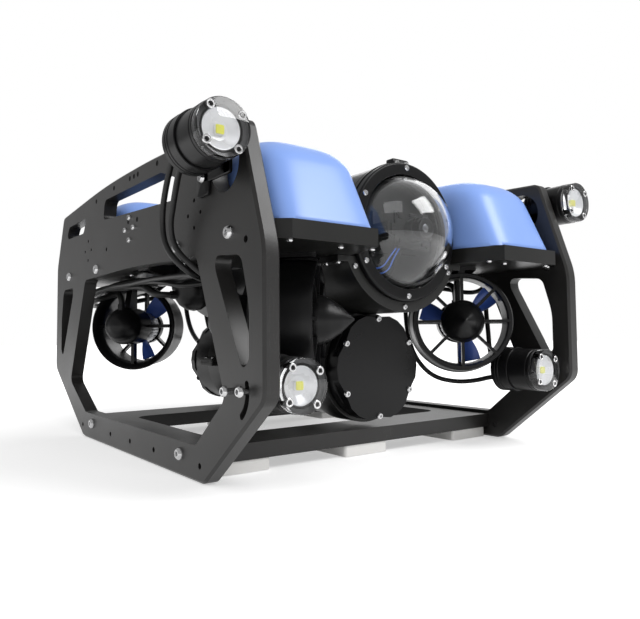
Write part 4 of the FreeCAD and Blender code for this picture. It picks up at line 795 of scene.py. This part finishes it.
thruster = {"levelX": 0.0974, "bowY": -0.154, "sternY": 0.147, "levelZ": 0.1141,
            "liftX": 0.1067, "liftY": -0.008, "liftZ": 0.1905, "bellRadius": 0.01762,
            "bellStart": -0.0126, "bellEnd": 0.0102, "flutes": 26, "fluteHigh": 0.0006,
            "bladeEdge": 0.0003, "bladeAngle": 35, "footHigh": 0.0464,
            "footBolts": ((-0.0255, 0.0085), (-0.0255, -0.0085)), "lean": math.sqrt(0.5),
            "fluteUp": (0.1, 0.2, 0.97),
            "stops": {"bow_port": -48, "stern_port": 15, "lift_port": 25,
                      "bow_starboard": 20, "stern_starboard": 44, "lift_starboard": -10}}


# Fluted sleeve on each rotor: radius plus a small power of the cosine of flutes x angle
def makeRotorSleeves():
    t = thruster
    lean = t["lean"]
    profile = [(t["bellRadius"] - 0.002, t["bellStart"]), (t["bellRadius"], t["bellStart"]),
               (t["bellRadius"] + 0.0004, t["bellStart"] + 0.0008),
               (t["bellRadius"] + 0.0004, t["bellEnd"] - 0.0008),
               (t["bellRadius"], t["bellEnd"]), (t["bellRadius"] - 0.002, t["bellEnd"])]

    def flutes(radius, angle):
        radius[1:5] += t["fluteHigh"] * np.abs(np.cos(t["flutes"] * angle / 2)) ** 0.5
        return radius
    sleeve = turned(profile, t["flutes"] * 8, flutes)
    for side, sign in sides.items():
        places = {"bow": ((sign * t["levelX"], t["bowY"], t["levelZ"]), (-sign * lean, -lean, 0)),
                  "stern": ((sign * t["levelX"], t["sternY"], t["levelZ"]),
                            (-sign * lean, lean, 0)),
                  "lift": ((sign * t["liftX"], t["liftY"], t["liftZ"]), (0, 0, 1))}
        for end, (place, along) in places.items():
            name, up = "%s_%s" % (end, side), (1, 0, 0) if end == "lift" else t["fluteUp"]
            makePiece("rotorSleeve_" + name, [standing(sleeve, place, along, up)],
                      "motorBell", "propeller_" + name, closedRows=True)
            makeRotor("propeller_" + name, place, along, t["stops"][name])


# A rotor is a merged copy of its CAD node, turned about its own shaft to where it stopped
def makeRotor(name, place, along, degrees):
    data = frame["nodes"][name].data.copy()
    work = bmesh.new()
    work.from_mesh(data)
    bmesh.ops.remove_doubles(work, verts=work.verts, dist=mergeReach)
    bmesh.ops.rotate(work, verts=work.verts, cent=Vector(place),
                     matrix=Matrix.Rotation(math.radians(degrees), 3,
                                            Vector(along).normalized()))
    work.to_mesh(data)
    work.free()
    data.materials.clear()
    data.materials.append(materials["propellerBlue"])
    data.shade_smooth()
    rotor = newObject(name.replace("propeller_", "rotor_"), data)
    roundEdges(rotor, thruster["bladeEdge"], thruster["bladeAngle"])
    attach(rotor, name)
    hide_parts(name)


# Heads of the screws that hold each thruster's foot to its plate, seen from below
def makeFootScrews():
    t = thruster
    lean = t["lean"]
    spots = []
    for sign in sides.values():
        for y, way in ((t["bowY"], -1), (t["sternY"], 1)):
            for along, across in t["footBolts"]:
                x = sign * t["levelX"] - sign * lean * along + lean * across * way
                spots.append(((x, y + way * lean * along + sign * lean * across,
                               t["levelZ"] + t["footHigh"]), (0, 0, -1)))
    makeScrews("thrusterFootScrews", screws["small"], spots)


makeRotorSleeves()
makeFootScrews()
print("thrusters made")

camera = {"axisZ": 0.1865, "frontY": -0.202, "plateY": -0.188, "bezelRadius": 0.0086,
          "glassRadius": 0.0054, "bulge": 0.0016, "chipHigh": 0.0012,
          "chips": [(-0.0135, 0.0105, 0.005, 0.004), (0.0135, 0.0105, 0.006, 0.005),
                    (-0.0135, -0.0100, 0.004, 0.006), (0.0130, -0.0105, 0.006, 0.003),
                    (0.0, 0.0122, 0.008, 0.003)],
          "screwX": 0.0165, "screwZ": 0.0125,
          "screw": {"radius": 0.0016, "high": 0.0010, "key": 0.45}}


# Bezel: a stepped profile carried round; glass: a shallow sphere cap carried round
def makeCameraFront():
    c = camera
    front = (0, c["frontY"], c["axisZ"])
    r = c["bezelRadius"]
    profile = [(c["glassRadius"], -0.003), (r, -0.003), (r, 0.0004), (r - 0.0005, 0.0009),
               (r - 0.0012, 0.0009), (c["glassRadius"] + 0.0006, -0.0002),
               (c["glassRadius"], -0.0006)]
    makeRound("cameraBezel", profile, 64, front, ahead, "anodisedBlack", "camera",
              closedRows=True)
    share = np.linspace(1, 0, 10)
    cap = [(0, -0.0022)] + [(c["glassRadius"] * s, c["bulge"] * (1 - s * s) - 0.0010)
                            for s in share]
    makeRound("cameraGlass", cap, 48, front, ahead, "lensCoated", "camera")
    grids = [standing(roundedPlate(long, wide, c["chipHigh"], 0.0003),
                      (x, c["plateY"], c["axisZ"] + z), ahead, (1, 0, 0))
             for x, z, long, wide in c["chips"]]
    makePiece("cameraChips", grids, "anodisedBlack", "camera", slot="board_dark")
    spots = [((x, c["plateY"], c["axisZ"] + z), ahead) for x in (-c["screwX"], c["screwX"])
             for z in (-c["screwZ"], c["screwZ"])]
    makeScrews("cameraScrews", c["screw"], spots, "camera", "anodisedBlack",
               slot="stainless")


makeCameraFront()
print("camera made")


# A tube of round section along one smooth quadratic curve with the points as its controls
def makeTube(name, points, radius, look="cableBlack"):
    data = bpy.data.curves.new(name, "CURVE")
    data.dimensions = "3D"
    spline = data.splines.new("NURBS")
    spline.points.add(len(points) - 1)
    flat = np.concatenate([np.array(points, float), np.ones((len(points), 1))], axis=1)
    spline.points.foreach_set("co", flat.ravel())
    spline.order_u = 3
    spline.use_endpoint_u = True
    spline.resolution_u = 10
    data.bevel_depth = radius
    data.bevel_resolution = 3
    data.use_fill_caps = True
    line = newObject(name + "Line", data)
    bpy.context.view_layer.update()
    ready = line.evaluated_get(bpy.context.evaluated_depsgraph_get())
    mesh = bpy.data.meshes.new_from_object(ready)
    bpy.data.objects.remove(line)
    finishMesh(mesh, look, 50)
    tube = newObject(name, mesh)
    return tube


cable = {"lightRadius": 0.0023, "thrusterRadius": 0.0029, "wireRadius": 0.0006}

# From a top light down beside the panel, along the centre plates and round the stern
topRun = [
    (0.1908, -0.174, 0.235), (0.1908, -0.16, 0.235), (0.188, -0.142, 0.23),
    (0.185, -0.122, 0.211), (0.183, -0.11, 0.19), (0.1813, -0.1122, 0.168),
    (0.173, -0.1247, 0.1524), (0.1598, -0.1236, 0.1455), (0.1499, -0.1124, 0.1461),
    (0.148, -0.088, 0.152), (0.1495, -0.045, 0.153), (0.1484, 0, 0.1543),
    (0.1494, 0.045, 0.153), (0.1494, 0.09, 0.1544), (0.1513, 0.1349, 0.1533),
    (0.1482, 0.172, 0.149), (0.143, 0.203, 0.146), (0.122, 0.217, 0.148)]
cableRoutes = {
    "topLight": topRun + [
        (0.0919, 0.2145, 0.1545), (0.0616, 0.2128, 0.1559), (0.0358, 0.2055, 0.1506),
        (0.0189, 0.194, 0.142), (0.0035, 0.1785, 0.1433), (0, 0.168, 0.1505),
        (0, 0.1516, 0.1505)],
    "topLightStarboard": topRun + [
        (0.063, 0.2155, 0.1575), (0.043, 0.219, 0.176), (0.024, 0.215, 0.202),
        (0.007, 0.203, 0.2195), (0.001, 0.184, 0.223), (0, 0.168, 0.2225), (0, 0.1516, 0.2225)],
    "lightLink": [
        (0.1908, -0.174, 0.219), (0.1908, -0.161, 0.219), (0.187, -0.147, 0.213),
        (0.183, -0.131, 0.198), (0.181, -0.12, 0.181), (0.177, -0.122, 0.165),
        (0.167, -0.132, 0.152), (0.157, -0.138, 0.143), (0.152, -0.141, 0.126),
        (0.151, -0.144, 0.106), (0.1506, -0.1457, 0.0834), (0.142, -0.1595, 0.0718),
        (0.133, -0.167, 0.078), (0.133, -0.174, 0.078)],
    "lowLight": [
        (0.133, -0.174, 0.062), (0.133, -0.162, 0.062), (0.131, -0.144, 0.057),
        (0.122, -0.126, 0.055), (0.108, -0.108, 0.06), (0.097, -0.096, 0.078),
        (0.093, -0.09, 0.1), (0.094, -0.086, 0.122), (0.102, -0.078, 0.141),
        (0.1179, -0.064, 0.1489), (0.1362, -0.0447, 0.1456), (0.1428, -0.0151, 0.1517),
        (0.1431, 0.0299, 0.1544), (0.1432, 0.08, 0.1533), (0.1446, 0.1301, 0.1541),
        (0.1431, 0.168, 0.1499), (0.135, 0.196, 0.151), (0.114, 0.208, 0.1531),
        (0.0869, 0.2072, 0.1591), (0.0606, 0.2109, 0.1596), (0.0453, 0.2077, 0.1815),
        (0.032, 0.203, 0.203), (0.0225, 0.19, 0.215), (0.0212, 0.17, 0.2156),
        (0.0212, 0.1516, 0.2156)],
    "bowThruster": [
        (0.1328, -0.1186, 0.1371), (0.1328, -0.1186, 0.1465), (0.133, -0.1129, 0.1537),
        (0.1337, -0.0958, 0.1567), (0.1347, -0.0629, 0.1541), (0.1337, -0.015, 0.1507),
        (0.1344, 0.0318, 0.1566), (0.133, 0.08, 0.1597), (0.1334, 0.125, 0.1589),
        (0.1324, 0.1601, 0.1572), (0.125, 0.186, 0.155), (0.106, 0.196, 0.156),
        (0.0836, 0.1961, 0.156), (0.0618, 0.1982, 0.1545), (0.0441, 0.1931, 0.1715),
        (0.035, 0.18, 0.176), (0.0342, 0.167, 0.1754), (0.0342, 0.1516, 0.1754)],
    "liftThruster": [
        (0.1297, -0.008, 0.1405), (0.137, -0.008, 0.1405), (0.1439, -0.0006, 0.1411),
        (0.1411, 0.017, 0.1457), (0.1363, 0.038, 0.1509), (0.1371, 0.07, 0.1526),
        (0.1372, 0.1049, 0.1532), (0.1386, 0.1373, 0.1547), (0.1369, 0.1665, 0.1516),
        (0.1297, 0.1917, 0.148), (0.11, 0.203, 0.1495), (0.0838, 0.2034, 0.1524),
        (0.0589, 0.2043, 0.1609), (0.0459, 0.2001, 0.1797), (0.036, 0.188, 0.195),
        (0.0342, 0.169, 0.1976), (0.0342, 0.1516, 0.1976)],
    "sternThruster": [
        (0.1328, 0.1116, 0.1371), (0.1328, 0.1116, 0.1435), (0.1333, 0.1195, 0.1491),
        (0.1378, 0.1356, 0.1468), (0.1438, 0.158, 0.1442), (0.1431, 0.183, 0.14),
        (0.131, 0.205, 0.139), (0.106, 0.214, 0.142), (0.08, 0.211, 0.146),
        (0.057, 0.206, 0.151), (0.036, 0.196, 0.154), (0.023, 0.18, 0.157),
        (0.0212, 0.167, 0.1574), (0.0212, 0.1516, 0.1574)],
    "batteryUpper": [
        (0.01, 0.1339, 0.0888), (0.01, 0.148, 0.0888), (0.011, 0.17, 0.095),
        (0.0115, 0.188, 0.113), (0.009, 0.193, 0.136), (0.005, 0.1882, 0.1602),
        (0.0012, 0.174, 0.1713), (0, 0.163, 0.1725), (0, 0.1516, 0.1725)],
    "batteryLower": [
        (-0.01, 0.1339, 0.0888), (-0.01, 0.149, 0.0888), (-0.011, 0.172, 0.094),
        (-0.012, 0.194, 0.111), (-0.013, 0.205, 0.137), (-0.013, 0.206, 0.163),
        (-0.009, 0.198, 0.187), (-0.002, 0.182, 0.1995), (0, 0.167, 0.2005), (0, 0.1516, 0.2005)],
}


# A run of points with x turned to the other side
def mirrored(points, sign):
    return [(sign * x, y, z) for x, y, z in points]


# The point midway between two points
def halfway(first, second):
    return tuple((a + b) / 2 for a, b in zip(first, second))


# Every cable of one side; a light's cable runs from the light to the frame, and the
# link between two lights is two tubes that meet on the frame
def makeCables(side, sign):
    thin, thick = cable["lightRadius"], cable["thrusterRadius"]
    top = mirrored(cableRoutes["topLight" if sign > 0 else "topLightStarboard"], sign)
    low = mirrored(cableRoutes["lowLight"], sign)
    link = mirrored(cableRoutes["lightLink"], sign)
    half = len(link) // 2
    middle = halfway(link[half - 1], link[half])
    runs = [("topLightCable_", "top", top, top[0], top[3]),
            ("lightLinkUpper_", "top", link[:half] + [middle], link[0], link[4]),
            ("lightLinkLower_", "low", [middle] + link[half:], link[-1], link[-4]),
            ("lowLightCable_", "low", low, low[0], low[4])]
    for start, level, points, near, far in runs:
        piece = makeTube(start + side, points, thin)
        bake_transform(piece)
        if start.endswith("Cable_"):
            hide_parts("light_cable_%s_%s" % (level, side))
    for end in ("bow", "lift", "stern"):
        piece = makeTube("%sThrusterCable_%s" % (end, side),
                         mirrored(cableRoutes[end + "Thruster"], sign), thick)
        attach(piece, "frame")
        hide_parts("thruster_cables_" + side)


for side, sign in sides.items():
    makeCables(side, sign)
for label in ("Upper", "Lower"):
    piece = makeTube("batteryCable" + label, cableRoutes["battery" + label],
                     cable["thrusterRadius"])
    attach(piece, "frame")
    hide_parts("battery_cables")

cameraWires = {
    "wireBlue": [[(-0.012, -0.1865, 0.1735), (-0.015, -0.181, 0.164), (-0.021, -0.182, 0.154),
                  (-0.029, -0.177, 0.151), (-0.032, -0.166, 0.157)],
                 [(-0.015, -0.1865, 0.1735), (-0.019, -0.181, 0.165), (-0.026, -0.182, 0.157),
                  (-0.033, -0.177, 0.155), (-0.035, -0.166, 0.161)]],
    "cableBlack": [[(-0.009, -0.1865, 0.1735), (-0.010, -0.180, 0.162), (-0.016, -0.181, 0.150),
                    (-0.024, -0.177, 0.147), (-0.028, -0.166, 0.153)]]}
for look, group in cameraWires.items():
    for number, points in enumerate(group):
        piece = makeTube("cameraWire_%s%d" % (look, number), points, cable["wireRadius"], look)
        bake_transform(piece)
print("cables made")

stageLook = {"floorSize": 16.0, "floorColor": 0.80, "floorGlow": 0.46, "farGlow": 0.95,
             "nearEdge": 0.26, "farEdge": 0.85, "world": 0.5}


# A pale floor that keeps the shadow and fades to white with distance from the middle
def makeFloor():
    bpy.ops.mesh.primitive_plane_add(size=stageLook["floorSize"], location=(0, 0, -0.0002))
    floor = bpy.context.object
    floor.name = "floor"
    material = bpy.data.materials.new("floorPale")
    material.use_nodes = True
    tree = material.node_tree
    shader = tree.nodes["Principled BSDF"]
    shade = stageLook["floorColor"]
    shader.inputs["Base Color"].default_value = (shade, shade, shade, 1)
    shader.inputs["Roughness"].default_value = 0.9
    shader.inputs["Specular IOR Level"].default_value = 0.1
    glow = tree.nodes.new("ShaderNodeEmission")
    light = tree.nodes.new("ShaderNodeLightPath")
    seen = mathNode(tree, "MAXIMUM", light.outputs["Is Camera Ray"],
                    light.outputs["Is Transmission Ray"])
    seen = mathNode(tree, "MAXIMUM", seen, light.outputs["Is Glossy Ray"])
    place = tree.nodes.new("ShaderNodeTexCoord").outputs["Object"]
    reach = tree.nodes.new("ShaderNodeVectorMath")
    reach.operation = "LENGTH"
    tree.links.new(place, reach.inputs[0])
    far = tree.nodes.new("ShaderNodeMapRange")
    far.inputs["From Min"].default_value = stageLook["nearEdge"]
    far.inputs["From Max"].default_value = stageLook["farEdge"]
    far.inputs["To Min"].default_value = stageLook["floorGlow"]
    far.inputs["To Max"].default_value = stageLook["farGlow"]
    tree.links.new(reach.outputs["Value"], far.inputs["Value"])
    amount = mathNode(tree, "MULTIPLY", seen, far.outputs[0])
    tree.links.new(amount, glow.inputs["Strength"])
    add = tree.nodes.new("ShaderNodeAddShader")
    tree.links.new(shader.outputs[0], add.inputs[0])
    tree.links.new(glow.outputs[0], add.inputs[1])
    tree.links.new(add.outputs[0], tree.nodes["Material Output"].inputs["Surface"])
    floor.data.materials.append(material)


# White to the eye and through glass, and a softer white as light
def makeWorld():
    world = bpy.data.worlds.new("studio")
    bpy.context.scene.world = world
    world.use_nodes = True
    tree = world.node_tree
    back = tree.nodes["Background"]
    light = tree.nodes.new("ShaderNodeLightPath")
    seen = mathNode(tree, "MAXIMUM", light.outputs["Is Camera Ray"],
                    light.outputs["Is Transmission Ray"])
    strength = mathNode(tree, "MULTIPLY_ADD", seen, 1.0 - stageLook["world"])
    strength.node.inputs[2].default_value = stageLook["world"]
    tree.links.new(strength, back.inputs["Strength"])
    back.inputs["Color"].default_value = (1, 1, 1, 1)


studioLamps = [
    {"name": "keyFront", "place": (0.58, -1.05, 1.12), "aim": (0, -0.10, 0.15),
     "size": (0.78, 0.62), "power": 12.0, "mirrored": True},
    {"name": "topLeft", "place": (-0.75, -0.95, 1.35), "aim": (0, 0, 0.12),
     "size": (0.9, 0.7), "power": 5.0, "mirrored": False},
    {"name": "fillLeft", "place": (-1.8, 0.1, 0.8), "aim": (0, 0, 0.12), "size": (1.0, 1.2),
     "power": 3.2, "mirrored": False},
    {"name": "backRight", "place": (1.4, 1.2, 1.1), "aim": (0, 0, 0.12), "size": (0.9, 0.9),
     "power": 6.0, "mirrored": True},
]


# Soft rectangular lamps, each turned towards its aim
def makeLamps():
    for source in studioLamps:
        data = bpy.data.lights.new(source["name"], "AREA")
        data.shape = "RECTANGLE"
        data.size, data.size_y = source["size"]
        data.energy = source["power"]
        light = newObject(source["name"], data)
        light.location = source["place"]
        light.visible_glossy = source["mirrored"]
        towards = Vector(source["aim"]) - Vector(source["place"])
        light.rotation_euler = towards.to_track_quat("-Z", "Y").to_euler()


cameraView = {"place": (-0.36986, -0.54430, 0.10219), "turn": (93.2250, 0.4292, -35.7179),
              "lens": 35.2575, "shift": (0.03217, -0.01436)}


# The camera, from its place, turn, lens and shift
def makeCamera():
    data = bpy.data.cameras.new("camera")
    data.sensor_width = 36.0
    data.lens = cameraView["lens"]
    data.shift_x, data.shift_y = cameraView["shift"]
    data.clip_start = 0.01
    camera = newObject("camera", data)
    camera.location = cameraView["place"]
    camera.rotation_euler = [math.radians(angle) for angle in cameraView["turn"]]
    bpy.context.scene.camera = camera


makeFloor()
makeWorld()
makeLamps()
makeCamera()
bpy.context.scene.view_settings.view_transform = "Standard"
print("stage made")
